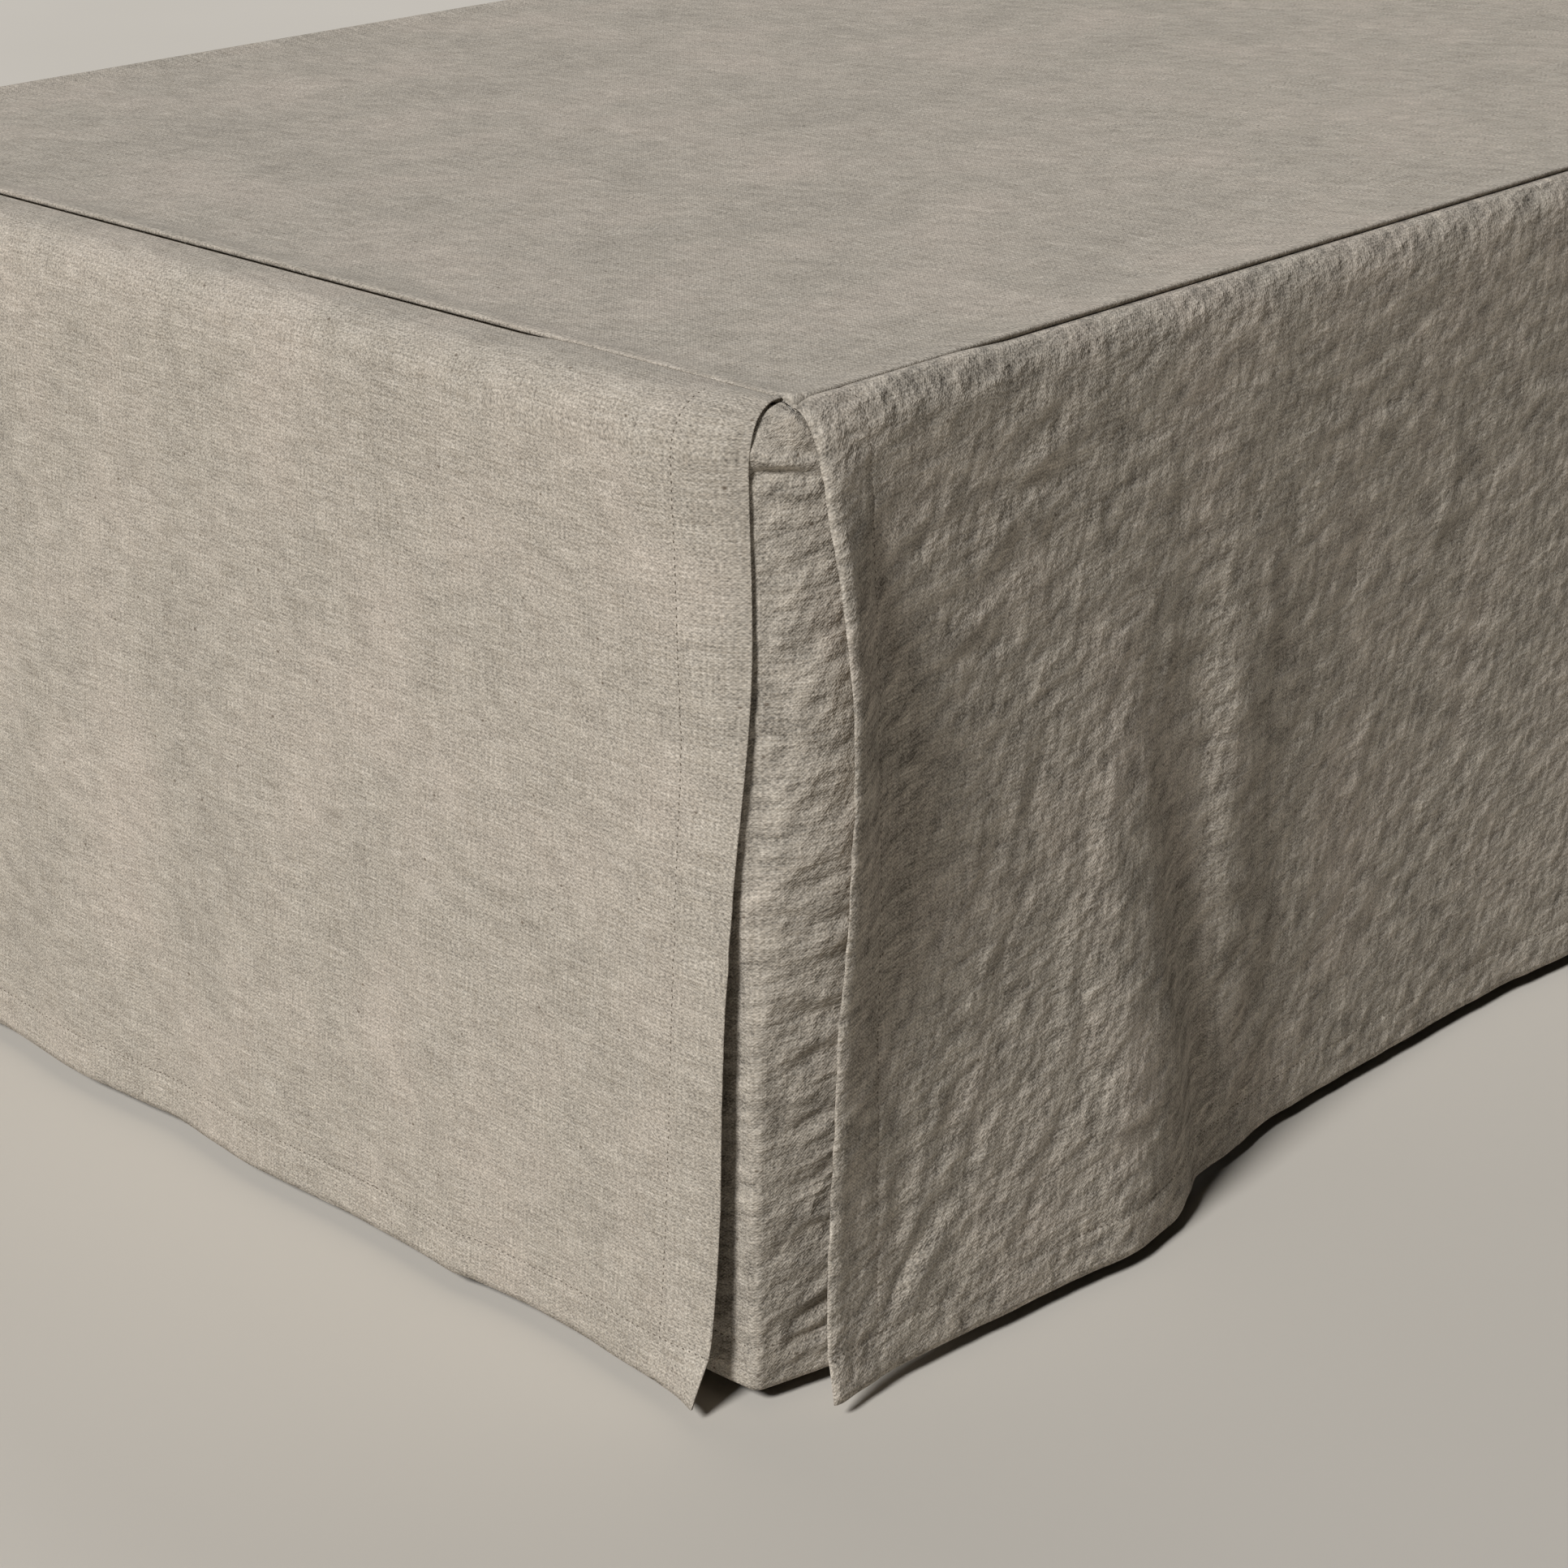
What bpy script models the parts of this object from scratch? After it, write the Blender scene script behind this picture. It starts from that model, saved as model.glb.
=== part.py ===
"""A linen bed skirt with split foot corners, on a plain bed base with four legs.

The foot of the bed points to -Y, its right side to +X, and it stands on z = 0.
Run with: blender --background --python part.py
"""
import bpy
import bmesh
import numpy as np

MM = 0.001

# Bed base
BASE_WIDTH = 0.900
BASE_LENGTH = 2.000
BASE_TOP = 0.510
BASE_BOTTOM = 0.180
CORNER_RADIUS = 0.078       # of the base's upright corners, seen from above
EDGE_RADIUS = 0.018         # of its top and bottom edges
LEG_RADIUS = 0.028
LEG_TAPER = 0.8             # the foot's radius as a share of the leg's
LEG_INSET = 0.095           # from the base's sides to the leg's axis
SEAT_GAP = 0.0003           # between pieces that touch
SEAM_GAP = 0.0005           # between the edges of two cloths along their seam

# Cloth
CLOTH = 0.0012              # thickness of the linen
SIDE_SEAM_IN = 0.015        # from the base's sides in to the seams of the side drops
FOOT_SEAM_IN = 0.0425       # from the base's foot end in to the seam of the foot drop
HEAD_GAP = 0.045            # from the base's head end in to the deck's hem
INSERT_REACH = 0.140        # of each leg of a corner insert, from its crease
LIE = SEAT_GAP + CLOTH / 2  # middle of a cloth that lies on the base
LOOSE = 0.0015              # what it stands further off over the rounded corners
DRAPE = 0.0026              # middle of a cloth that falls over the base's edge
OVER_INSERT = 0.0024        # what a drop stands further out where an insert is under it
OVER_INSERT_LIP = 0.0021    # the same on top of the base
OVER_HEAD_LIP = 0.0008      # on top of the base, over its rounded corners at the head
INSERT_FADE = (0.150, 0.200)  # a drop settles back between these distances from a corner

# Heights at which each drop's sections state how far out they hang, in mm; the last is its hem
SECTION_HEIGHTS = (480, 400, 340, 280, 200, 110, 45, 10)

# Sections of the foot drop, in mm from the base's right corner, and how far out it hangs
FOOT_SECTIONS = (
    # along   480   400   340   280   200   110    45    10
    (22.5,  (-18.3, -13.0, -2.5,  6.3, 12.5, 14.0, 19.0, 34.0)),
    (34.0,  (-8.5,  -3.5,  2.8,  8.5, 13.5, 16.0, 20.5, 30.0)),
    (50.0,  (-0.5,   2.8,  6.0, 10.5, 15.0, 18.0, 22.0, 27.0)),
    (78.0,  (5.2,    7.0,  9.0, 12.0, 15.5, 19.0, 22.5, 25.0)),
    (112.0, (5.2,    7.2,  9.0, 11.5, 15.0, 18.5, 20.5, 22.0)),
    (152.0, (5.0,    7.0,  8.8, 11.5, 14.5, 18.0, 20.0, 21.0)),
    (188.0, (4.4,    7.0,  8.8, 11.5, 15.0, 19.0, 21.5, 23.0)),
    (203.0, (4.4,    7.0,  9.0, 11.8, 16.0, 20.5, 24.0, 26.0)),
    (225.0, (4.4,    7.0,  9.0, 11.5, 15.5, 20.0, 22.5, 24.5)),
    (285.0, (4.4,    7.0,  8.8, 11.0, 14.5, 18.5, 21.0, 23.0)),
    (370.0, (4.4,    7.0,  9.5, 12.5, 16.5, 21.0, 24.0, 26.0)),
    (450.0, (4.4,    6.0,  8.0, 10.5, 13.0, 16.0, 18.5, 20.0)),
    (530.0, (4.4,    6.5,  9.0, 12.0, 16.0, 20.0, 23.0, 25.0)),
    (620.0, (4.4,    6.0,  8.0, 10.0, 13.0, 16.0, 18.0, 19.0)),
    (710.0, (4.6,    6.5,  9.0, 12.0, 15.5, 19.5, 22.0, 24.0)),
    (822.0, (5.2,    7.5, 10.5, 14.0, 18.0, 22.0, 25.5, 28.0)),
    (850.0, (-0.5,   4.5,  9.0, 13.5, 18.5, 23.0, 27.0, 30.0)),
    (877.5, (-18.3, -9.0,  2.0, 11.0, 18.0, 23.5, 28.0, 33.0)),
)
# Sections of the right drop, in mm from the base's right foot corner
RIGHT_SECTIONS = (
    # along   480   400   340   280   200   110    45    10
    (42.5,   (9.5,  30.5, 35.6, 35.0, 31.0, 30.8, 32.0, 38.5)),
    (60.0,   (7.5,  22.0, 27.0, 28.5, 27.5, 28.5, 31.0, 36.5)),
    (84.0,   (5.6,  10.5, 15.5, 19.5, 23.5, 28.5, 32.5, 36.0)),
    (115.0,  (5.2,   9.5, 13.5, 18.0, 24.0, 30.5, 35.0, 38.0)),
    (150.0,  (5.0,   9.5, 13.5, 18.5, 25.0, 33.0, 39.0, 42.5)),
    (185.0,  (4.6,   9.5, 14.0, 19.0, 27.0, 36.5, 42.5, 46.0)),
    (216.0,  (4.4,   9.5, 14.5, 20.5, 29.5, 40.0, 46.0, 49.5)),
    (246.0,  (4.4,   9.5, 14.5, 21.5, 32.5, 44.0, 50.5, 54.0)),
    (276.0,  (4.4,   9.0, 13.5, 19.5, 29.5, 41.5, 47.5, 50.5)),
    (298.0,  (4.4,   8.5, 11.0, 14.5, 22.0, 35.0, 41.5, 44.5)),
    (316.0,  (4.4,   8.0,  9.5, 11.5, 15.5, 26.0, 33.5, 36.5)),
    (336.0,  (4.4,   7.5,  9.0, 10.5, 13.0, 18.5, 24.5, 27.0)),
    (362.0,  (4.4, 8.0, 11.5, 14.5, 17.5, 20.0, 22.5, 25.0)),
    (420.0,  (4.4, 6.5, 7.5, 8.5, 10.0, 12.5, 15.0, 17.0)),
    (520.0,  (4.4, 6.2, 6.5, 7.0, 8.5, 12.0, 15.5, 17.5)),
    (640.0,  (4.4,   6.5,  8.5, 10.5, 13.0, 16.0, 18.0, 19.0)),
    (760.0,  (4.4,   7.5, 10.5, 14.0, 18.5, 24.0, 28.0, 30.0)),
    (900.0,  (4.4,   6.5,  8.5, 11.0, 14.0, 17.0, 19.0, 20.0)),
    (1060.0, (4.4,   7.5, 10.0, 13.0, 17.0, 22.0, 25.0, 27.0)),
    (1220.0, (4.4,   6.5,  8.5, 10.5, 13.5, 16.5, 18.5, 19.5)),
    (1400.0, (4.4,   7.5, 10.0, 13.5, 18.0, 23.0, 26.5, 28.5)),
    (1580.0, (4.4,   6.5,  8.5, 10.5, 13.0, 16.0, 18.0, 19.0)),
    (1760.0, (4.4,   7.0,  9.5, 12.0, 15.5, 19.5, 22.5, 24.0)),
    (1900.0, (4.4,   7.8, 11.0, 14.2, 18.2, 22.2, 25.2, 27.0)),
    (1955.0, (4.4,   8.0, 11.5, 15.0, 19.0, 23.0, 26.0, 28.0)),
)
# Sections of the left drop, in mm from the base's left foot corner
LEFT_SECTIONS = (
    # along   480   400   340   280   200   110    45    10
    (42.5,   (8.0,  24.0, 30.0, 31.0, 30.0, 30.5, 31.0, 34.0)),
    (64.0,   (6.5,  15.0, 20.0, 23.0, 26.0, 29.0, 31.0, 33.0)),
    (95.0,   (5.2,   9.0, 13.0, 17.0, 22.0, 27.0, 31.0, 33.0)),
    (180.0,  (4.6,   8.5, 12.5, 17.5, 24.0, 31.5, 36.0, 38.5)),
    (270.0,  (4.4,   7.5, 10.0, 13.0, 17.5, 22.0, 25.0, 27.0)),
    (400.0,  (4.4,   8.0, 11.5, 15.5, 21.0, 28.0, 32.0, 34.5)),
    (540.0,  (4.4,   6.5,  8.5, 10.5, 13.5, 17.0, 19.5, 21.0)),
    (700.0,  (4.4,   7.5, 10.5, 14.0, 19.0, 24.5, 28.0, 30.0)),
    (880.0,  (4.4,   6.5,  8.5, 10.5, 13.0, 16.0, 18.0, 19.0)),
    (1080.0, (4.4,   7.0, 10.0, 13.0, 17.0, 22.0, 25.0, 27.0)),
    (1300.0, (4.4,   6.5,  8.5, 10.5, 13.5, 16.5, 18.5, 20.0)),
    (1530.0, (4.4,   7.5, 10.5, 13.5, 18.0, 23.0, 26.0, 28.0)),
    (1750.0, (4.4,   6.5,  8.5, 10.5, 13.0, 16.0, 18.0, 19.0)),
    (1900.0, (4.4,   7.6, 10.4, 13.2, 17.0, 20.8, 23.6, 25.4)),
    (1955.0, (4.4,   8.0, 11.0, 14.0, 18.0, 22.0, 25.0, 27.0)),
)
# How far along its side a split end leans from its seam, in mm at the section heights
#                480    400    340    280    200    110     45     10
FOOT_LEAN =    (-2.5,  -9.5, -14.0, -14.3, -13.5, -11.5, -10.5, -10.0)
SIDE_LEAN =    (-1.2,  -5.0,  -7.9, -10.7, -14.5, -18.8, -21.8, -23.5)
LEAN_FADE = 0.200           # the lean dies out over this distance

# Radius of a corner insert's crease, in mm at the section heights
CREASE_RADII =  (80.0,  57.0,  30.0,  13.0,   6.0,   5.0,   5.0,   5.0)
CREASE_OUT =    (2.6,    1.0,  -0.6,  -0.6,  -0.6,  -0.6,  -0.6,  -0.6)
# How far its leg on the long side swings out, in mm, from the crease along
SWING_SECTIONS = (
    # along, out
    (0.0,    (0.0,   0.0,  0.0,  0.0,  0.0,  0.0,  0.0,  0.0)),
    (12.0,   (0.0,   1.5,  4.5,  6.0,  4.5,  3.2,  2.5,  2.4)),
    (25.0,   (0.0,   3.0,  9.0, 12.0,  9.0,  6.6,  5.1,  4.9)),
    (40.0,   (0.0,   4.5, 13.0, 17.5, 13.5, 10.5,  8.2,  8.0)),
    (55.0,   (0.0,   5.5, 14.0, 18.5, 16.5, 13.5, 10.8, 10.6)),
    (75.0,   (0.0,   5.0, 10.0, 14.5, 17.0, 15.5, 13.2, 13.0)),
    (100.0,  (0.0,   3.8,  7.6, 11.6, 16.0, 15.0, 14.0, 14.0)),
    (140.0,  (0.0,   3.4,  7.2, 11.2, 15.2, 14.0, 13.5, 13.5)),
)

# Rows of a cloth's grid: heights below the rounded edge, in mm, and steps over the edge
FALL_HEIGHTS = (480, 452, 420, 385, 345, 300, 250, 195, 140, 90, 50, 25, 10)
SHOULDER_STEPS = 7
KNEE = 0.9                  # how closely a cloth follows the edge before it hangs, up to 1
LIFT_END = 0.2              # share of the way over the edge where its clearance is reached
BEND_WEIGHT = 0.060         # length that a bend of one radian counts for when steps are spread
CORNER_STEP = 0.014         # longest step between columns near the base's rounded corners

LINEN = (0.50, 0.44, 0.36)
LINEN_PALE = (0.53, 0.48, 0.40)
TICKING = (0.62, 0.60, 0.56)
BIRCH = (0.58, 0.42, 0.26)


def smooth_through(knots, values, where):
    """Cubic through the values at the knots, flat where the values turn."""
    knots = np.asarray(knots, float)
    values = np.asarray(values, float)
    slopes = np.diff(values) / np.diff(knots)
    tangents = np.zeros_like(values)
    tangents[0], tangents[-1] = slopes[0], slopes[-1]
    same_way = slopes[:-1] * slopes[1:] > 0
    both = np.where(same_way, slopes[:-1] + slopes[1:], 1.0)
    tangents[1:-1] = np.where(same_way, 2 * slopes[:-1] * slopes[1:] / both, 0.0)
    where = np.clip(where, knots[0], knots[-1])
    cell = np.clip(np.searchsorted(knots, where) - 1, 0, len(knots) - 2)
    width = knots[cell + 1] - knots[cell]
    t = (where - knots[cell]) / width
    return (values[cell] * (1 + 2 * t) * (1 - t) ** 2 + values[cell + 1] * t * t * (3 - 2 * t)
            + width * (tangents[cell] * t * (1 - t) ** 2 - tangents[cell + 1] * t * t * (1 - t)))


def at_height(values, height):
    """A row of section values, in mm, read at a height in metres; gives metres."""
    rising = SECTION_HEIGHTS[::-1]
    return smooth_through(rising, values[::-1], height / MM) * MM


def eased(t):
    t = np.clip(t, 0.0, 1.0)
    return t * t * (3 - 2 * t)


def base_distance(points):
    """Distance from points to the base's rounded surface, positive outside it."""
    half = np.array((BASE_WIDTH, BASE_LENGTH)) / 2 - CORNER_RADIUS
    beyond = np.abs(points[:, :2]) - half
    plan = (np.hypot(*np.maximum(beyond, 0).T) + np.minimum(beyond.max(axis=1), 0)
            - CORNER_RADIUS + EDGE_RADIUS)
    middle = (BASE_TOP + BASE_BOTTOM) / 2
    upright = np.abs(points[:, 2] - middle) - (BASE_TOP - BASE_BOTTOM) / 2 + EDGE_RADIUS
    return (np.hypot(np.maximum(plan, 0), np.maximum(upright, 0))
            + np.minimum(np.maximum(plan, upright), 0) - EDGE_RADIUS)


def kept_off(points, clearance):
    """Points moved straight out of the base until they clear it."""
    points = points.copy()
    step = 1e-5
    for _ in range(4):
        short = np.maximum(clearance - base_distance(points), 0.0)
        slope = np.empty_like(points)
        for axis in range(3):
            moved = points.copy()
            moved[:, axis] += step
            slope[:, axis] = (base_distance(moved) - base_distance(points)) / step
        points += slope * short[:, None]
    return points


def surface_height(x, y):
    """Height of the base's top surface at a place, lower over its rounded corners."""
    beyond = np.abs((x, y)) - np.array((BASE_WIDTH, BASE_LENGTH)) / 2 + CORNER_RADIUS
    inside = CORNER_RADIUS - np.hypot(*np.maximum(beyond, 0)) - min(beyond.max(), 0)
    over = np.clip(EDGE_RADIUS - inside, 0, EDGE_RADIUS)
    return BASE_TOP - EDGE_RADIUS + np.sqrt(EDGE_RADIUS ** 2 - over ** 2)


def lying_height(x, y):
    """Middle of a cloth that lies on the base, a little looser over its rounded corners."""
    top = surface_height(x, y)
    return top + LIE + min(BASE_TOP - top, LOOSE)


def even_steps(points, count):
    """Points spread along a polyline, closer together where it bends, its two ends kept."""
    runs = np.diff(points, axis=0)
    lengths = np.linalg.norm(runs, axis=1)
    headings = runs / lengths[:, None]
    bends = np.linalg.norm(np.diff(headings, axis=0), axis=1)
    weights = lengths + BEND_WEIGHT * np.append(bends, bends[-1])
    reached = np.concatenate(([0], np.cumsum(weights)))
    wanted = np.linspace(0, reached[-1], count)
    return np.stack([np.interp(wanted, reached, points[:, axis]) for axis in range(3)], axis=1)


def shoulder(start, end, below, clearances):
    """The cloth from its seam over the rounded edge, down to where it hangs."""
    slope = (below - end) / abs(below[2] - end[2])
    rise = start[2] - end[2]
    knee = end - slope * rise * KNEE
    knee[2] = start[2]
    t = np.linspace(0, 1, 80)[:, None]
    bow = start * (1 - t) ** 2 + 2 * knee * t * (1 - t) + end * t ** 2
    lifted = eased(t[:, 0] / LIFT_END)
    bow = kept_off(bow, clearances[0] + (clearances[1] - clearances[0]) * lifted)
    bow[0] = start
    return even_steps(bow, SHOULDER_STEPS + 1)[:-1]


def drop_column(drop, position):
    """One column of a drop's grid, from its seam to its hem."""
    knots = [row[0] for row in drop["sections"]]
    rows = np.array([row[1] for row in drop["sections"]])
    outs = [smooth_through(knots, values, position / MM) for values in rows.T]
    to_split = min(position, drop["span"] - position) if drop["both_split"] else position
    stack = 1 - eased((to_split - INSERT_FADE[0]) / (INSERT_FADE[1] - INSERT_FADE[0]))
    at_head = eased((position - drop["span"] + 2 * CORNER_RADIUS) / CORNER_RADIUS)
    lip = LIE + OVER_INSERT_LIP * stack + OVER_HEAD_LIP * at_head
    side = DRAPE + OVER_INSERT * stack
    first, last = knots[0] * MM, knots[-1] * MM

    def spot(height):
        lean = at_height(drop["lean"], height)
        shift = lean * np.exp((first - position) / LEAN_FADE)
        if drop["both_split"]:
            shift -= lean * np.exp((position - last) / LEAN_FADE)
        place = drop["corner"] + drop["along"] * (position + shift)
        return np.append(place + drop["outward"] * at_height(outs, height), height)

    seam = drop["corner"] + drop["along"] * position - drop["outward"] * drop["seam_in"]
    seam = np.append(seam, lying_height(*seam) + lip - LIE)
    fall = kept_off(np.array([spot(height * MM) for height in FALL_HEIGHTS]), side)
    return np.vstack((shoulder(seam, fall[0], fall[1], (lip, side)), fall))


def drop_positions(drop):
    """Places of a drop's columns: its sections, with more between those far apart."""
    rounded = CORNER_RADIUS * 1.1
    knots = [row[0] * MM for row in drop["sections"]]
    places = [knots[0]]
    for near, far in zip(knots, knots[1:]):
        at_corner = far < rounded or near > drop["span"] - rounded
        steps = max(1, int(np.ceil((far - near) / (CORNER_STEP if at_corner else drop["step"]))))
        places += [near + (far - near) * (i + 1) / steps for i in range(steps)]
    return places


def insert_column(side, share):
    """One column of a corner insert, from its seam to its hem; share runs from -1 to 1."""
    corner = np.array((side * BASE_WIDTH / 2, -BASE_LENGTH / 2))
    toward = np.array((side, -1.0))
    knots = [row[0] for row in SWING_SECTIONS]
    swings = np.array([row[1] for row in SWING_SECTIONS]).T

    def spot(height):
        radius = at_height(CREASE_RADII, height)
        out = at_height(CREASE_OUT, height)
        arc = radius * np.pi / 2
        straight = INSERT_REACH - radius
        travel = abs(share) * (straight + arc / 2)
        leg_out = out + (DRAPE - out) * abs(share) ** 0.7
        if share > 0:
            leg_out += at_height([smooth_through(knots, row, travel / MM) for row in swings], height)
        if travel >= arc / 2:
            reach, depth = radius + travel - arc / 2, 0.0
        else:
            angle = np.pi / 4 * (1 - travel / (arc / 2))
            reach = radius - radius * np.sin(angle)
            depth = radius - radius * np.cos(angle)
        local = (out - reach, leg_out - depth) if share < 0 else (leg_out - depth, out - reach)
        return np.append(corner + toward * local, height)

    fall = kept_off(np.array([spot(h * MM) for h in FALL_HEIGHTS]), DRAPE)
    x_edge = BASE_WIDTH / 2 - SIDE_SEAM_IN
    y_edge = -BASE_LENGTH / 2 + FOOT_SEAM_IN
    seam = np.array((side * min(side * fall[0][0], x_edge), max(fall[0][1], y_edge), 0.0))
    seam[2] = lying_height(seam[0], seam[1])
    return np.vstack((shoulder(seam, fall[0], fall[1], (LIE, DRAPE)), fall))


def material(name, colour, roughness):
    made = bpy.data.materials.new(name)
    made.use_nodes = True
    shader = made.node_tree.nodes["Principled BSDF"]
    shader.inputs["Base Color"].default_value = (*colour, 1)
    shader.inputs["Roughness"].default_value = roughness
    shader.inputs["Metallic"].default_value = 0
    return made


def new_object(name, made_mesh, collection, parent, surface):
    made = bpy.data.objects.new(name, made_mesh)
    collection.objects.link(made)
    made.parent = parent
    made.data.materials.append(surface)
    return made


def cloth(name, columns, collection, parent, surface):
    """A sheet from columns of points, thickened evenly to both sides."""
    mesh = bpy.data.meshes.new(name)
    grid = bmesh.new()
    bmesh.ops.create_grid(grid, x_segments=len(columns) - 1, y_segments=len(columns[0]) - 1, size=1)
    for vert in grid.verts:
        column = round((vert.co.x + 1) / 2 * (len(columns) - 1))
        row = round((vert.co.y + 1) / 2 * (len(columns[0]) - 1))
        vert.co = columns[column][row]
    grid.to_mesh(mesh)
    grid.free()
    made = new_object(name, mesh, collection, parent, surface)
    thick = made.modifiers.new("linen", "SOLIDIFY")
    thick.thickness = CLOTH
    thick.offset = 0
    thick.use_even_offset = True
    return made


def make_drops(collection, parent):
    right, foot = BASE_WIDTH / 2, -BASE_LENGTH / 2
    drops = {
        "drop_foot": {"corner": (right, foot), "along": (-1, 0), "outward": (0, -1),
                      "span": BASE_WIDTH, "both_split": True, "seam_in": FOOT_SEAM_IN,
                      "sections": FOOT_SECTIONS, "lean": FOOT_LEAN, "step": 0.045},
        "drop_right": {"corner": (right, foot), "along": (0, 1), "outward": (1, 0),
                       "span": BASE_LENGTH, "both_split": False, "seam_in": SIDE_SEAM_IN,
                       "sections": RIGHT_SECTIONS, "lean": SIDE_LEAN, "step": 0.070},
        "drop_left": {"corner": (-right, foot), "along": (0, 1), "outward": (-1, 0),
                      "span": BASE_LENGTH, "both_split": False, "seam_in": SIDE_SEAM_IN,
                      "sections": LEFT_SECTIONS, "lean": SIDE_LEAN, "step": 0.080},
    }
    for name, drop in drops.items():
        for key in ("corner", "along", "outward"):
            drop[key] = np.array(drop[key], float)
        columns = [drop_column(drop, position) for position in drop_positions(drop)]
        cloth(name, columns, collection, parent, material(name + "_linen", LINEN, 0.9))


def make_inserts(collection, parent):
    for name, side in (("corner_insert_right", 1), ("corner_insert_left", -1)):
        shares = np.linspace(0, 1, 9) ** 1.3
        shares = np.concatenate((-shares[:0:-1], shares))
        columns = [insert_column(side, share) for share in shares]
        cloth(name, columns, collection, parent, material(name + "_linen", LINEN_PALE, 0.9))


def make_deck(collection, parent):
    x_edge = BASE_WIDTH / 2 - SIDE_SEAM_IN - SEAM_GAP
    ends = (-BASE_LENGTH / 2 + FOOT_SEAM_IN + SEAM_GAP, BASE_LENGTH / 2 - HEAD_GAP)
    near_edge = np.array((0, 6, 12, 19, 28, 44, 90)) * MM
    xs = np.concatenate((-x_edge + near_edge, x_edge - near_edge[::-1]))
    ys = np.concatenate((ends[0] + near_edge, (0.0,), ends[1] - near_edge[::-1]))
    columns = []
    for x in xs:
        columns.append([(x, y, lying_height(x, y)) for y in ys])
    cloth("deck", columns, collection, parent, material("deck_linen", LINEN_PALE, 0.9))


def make_base(collection, parent):
    mesh = bpy.data.meshes.new("bed_base")
    box = bmesh.new()
    bmesh.ops.create_cube(box, size=1)
    bmesh.ops.scale(box, vec=(BASE_WIDTH, BASE_LENGTH, BASE_TOP - BASE_BOTTOM), verts=box.verts)
    bmesh.ops.translate(box, vec=(0, 0, (BASE_TOP + BASE_BOTTOM) / 2), verts=box.verts)
    upright = [e for e in box.edges if abs(e.verts[0].co.z - e.verts[1].co.z) > 0.1]
    bmesh.ops.bevel(box, geom=upright, offset=CORNER_RADIUS, segments=8, profile=0.5, affect="EDGES")
    rims = [e for e in box.edges if abs(e.verts[0].co.z - e.verts[1].co.z) < 1e-6]
    bmesh.ops.bevel(box, geom=rims, offset=EDGE_RADIUS, segments=4, profile=0.5, affect="EDGES")
    box.to_mesh(mesh)
    box.free()
    new_object("bed_base", mesh, collection, parent, material("base_ticking", TICKING, 0.85))


def make_legs(collection, parent):
    height = BASE_BOTTOM - SEAT_GAP
    mesh = bpy.data.meshes.new("leg")
    turned = bmesh.new()
    bmesh.ops.create_cone(turned, cap_ends=True, segments=24, depth=height,
                          radius1=LEG_RADIUS * LEG_TAPER, radius2=LEG_RADIUS)
    turned.to_mesh(mesh)
    turned.free()
    mesh.shade_smooth()
    mesh.set_sharp_from_angle(angle=0.7)
    x = BASE_WIDTH / 2 - LEG_INSET
    y = BASE_LENGTH / 2 - LEG_INSET
    for name, place in (("leg_foot_right", (x, -y)), ("leg_foot_left", (-x, -y)),
                        ("leg_head_right", (x, y)), ("leg_head_left", (-x, y))):
        leg = new_object(name, mesh.copy(), collection, parent, material(name + "_birch", BIRCH, 0.5))
        leg.location = (*place, height / 2)


def centre_on_floor(collection, parent):
    """Moves the whole bed so that its box stands centred on the origin."""
    bpy.context.view_layer.update()
    depsgraph = bpy.context.evaluated_depsgraph_get()
    corners = []
    for made in collection.objects:
        if made.type == "MESH":
            shown = made.evaluated_get(depsgraph)
            corners += [shown.matrix_world @ vert.co for vert in shown.data.vertices]
    corners = np.array(corners)
    middle = (corners.min(axis=0) + corners.max(axis=0)) / 2
    parent.location = (-middle[0], -middle[1], 0)
    bpy.context.view_layer.update()


def main():
    for old in list(bpy.data.objects):
        bpy.data.objects.remove(old, do_unlink=True)
    collection = bpy.data.collections.new("bed_skirt")
    bpy.context.scene.collection.children.link(collection)
    parent = bpy.data.objects.new("bed", None)
    collection.objects.link(parent)
    make_base(collection, parent)
    make_legs(collection, parent)
    make_deck(collection, parent)
    make_inserts(collection, parent)
    make_drops(collection, parent)
    centre_on_floor(collection, parent)


main()
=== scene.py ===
# A washed linen bed skirt with split foot corners, hanging over a plain bed base.
import math

import bpy
import numpy as np
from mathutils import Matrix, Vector, noise


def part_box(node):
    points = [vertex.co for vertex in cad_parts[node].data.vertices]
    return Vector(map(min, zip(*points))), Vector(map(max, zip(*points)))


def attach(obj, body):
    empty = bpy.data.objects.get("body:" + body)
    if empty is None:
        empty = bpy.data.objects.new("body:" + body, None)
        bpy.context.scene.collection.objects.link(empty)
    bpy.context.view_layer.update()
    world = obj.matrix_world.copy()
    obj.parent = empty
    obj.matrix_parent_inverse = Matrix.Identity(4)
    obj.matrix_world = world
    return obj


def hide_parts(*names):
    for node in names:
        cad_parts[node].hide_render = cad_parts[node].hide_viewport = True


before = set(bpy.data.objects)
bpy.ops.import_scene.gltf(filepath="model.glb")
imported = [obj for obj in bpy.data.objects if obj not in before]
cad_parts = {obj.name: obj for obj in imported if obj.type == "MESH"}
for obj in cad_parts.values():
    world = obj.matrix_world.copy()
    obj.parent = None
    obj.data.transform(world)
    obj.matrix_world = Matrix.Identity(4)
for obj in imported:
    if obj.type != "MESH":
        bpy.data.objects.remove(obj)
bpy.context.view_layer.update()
print("frame loaded")

mm = 0.001
baseLow, baseHigh = (np.array(corner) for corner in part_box("bed_base"))
# pieces are worked out round the base's middle, then moved here
bedCentre = (baseLow + baseHigh) / 2 * (1, 1, 0)

bed = {
    "width": baseHigh[0] - baseLow[0],
    "length": baseHigh[1] - baseLow[1],
    "top": baseHigh[2],
    "bottom": baseLow[2],
    "cornerRadius": 78 * mm,  # upright corners, seen from above
    "edgeRadius": 18 * mm,
}

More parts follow.
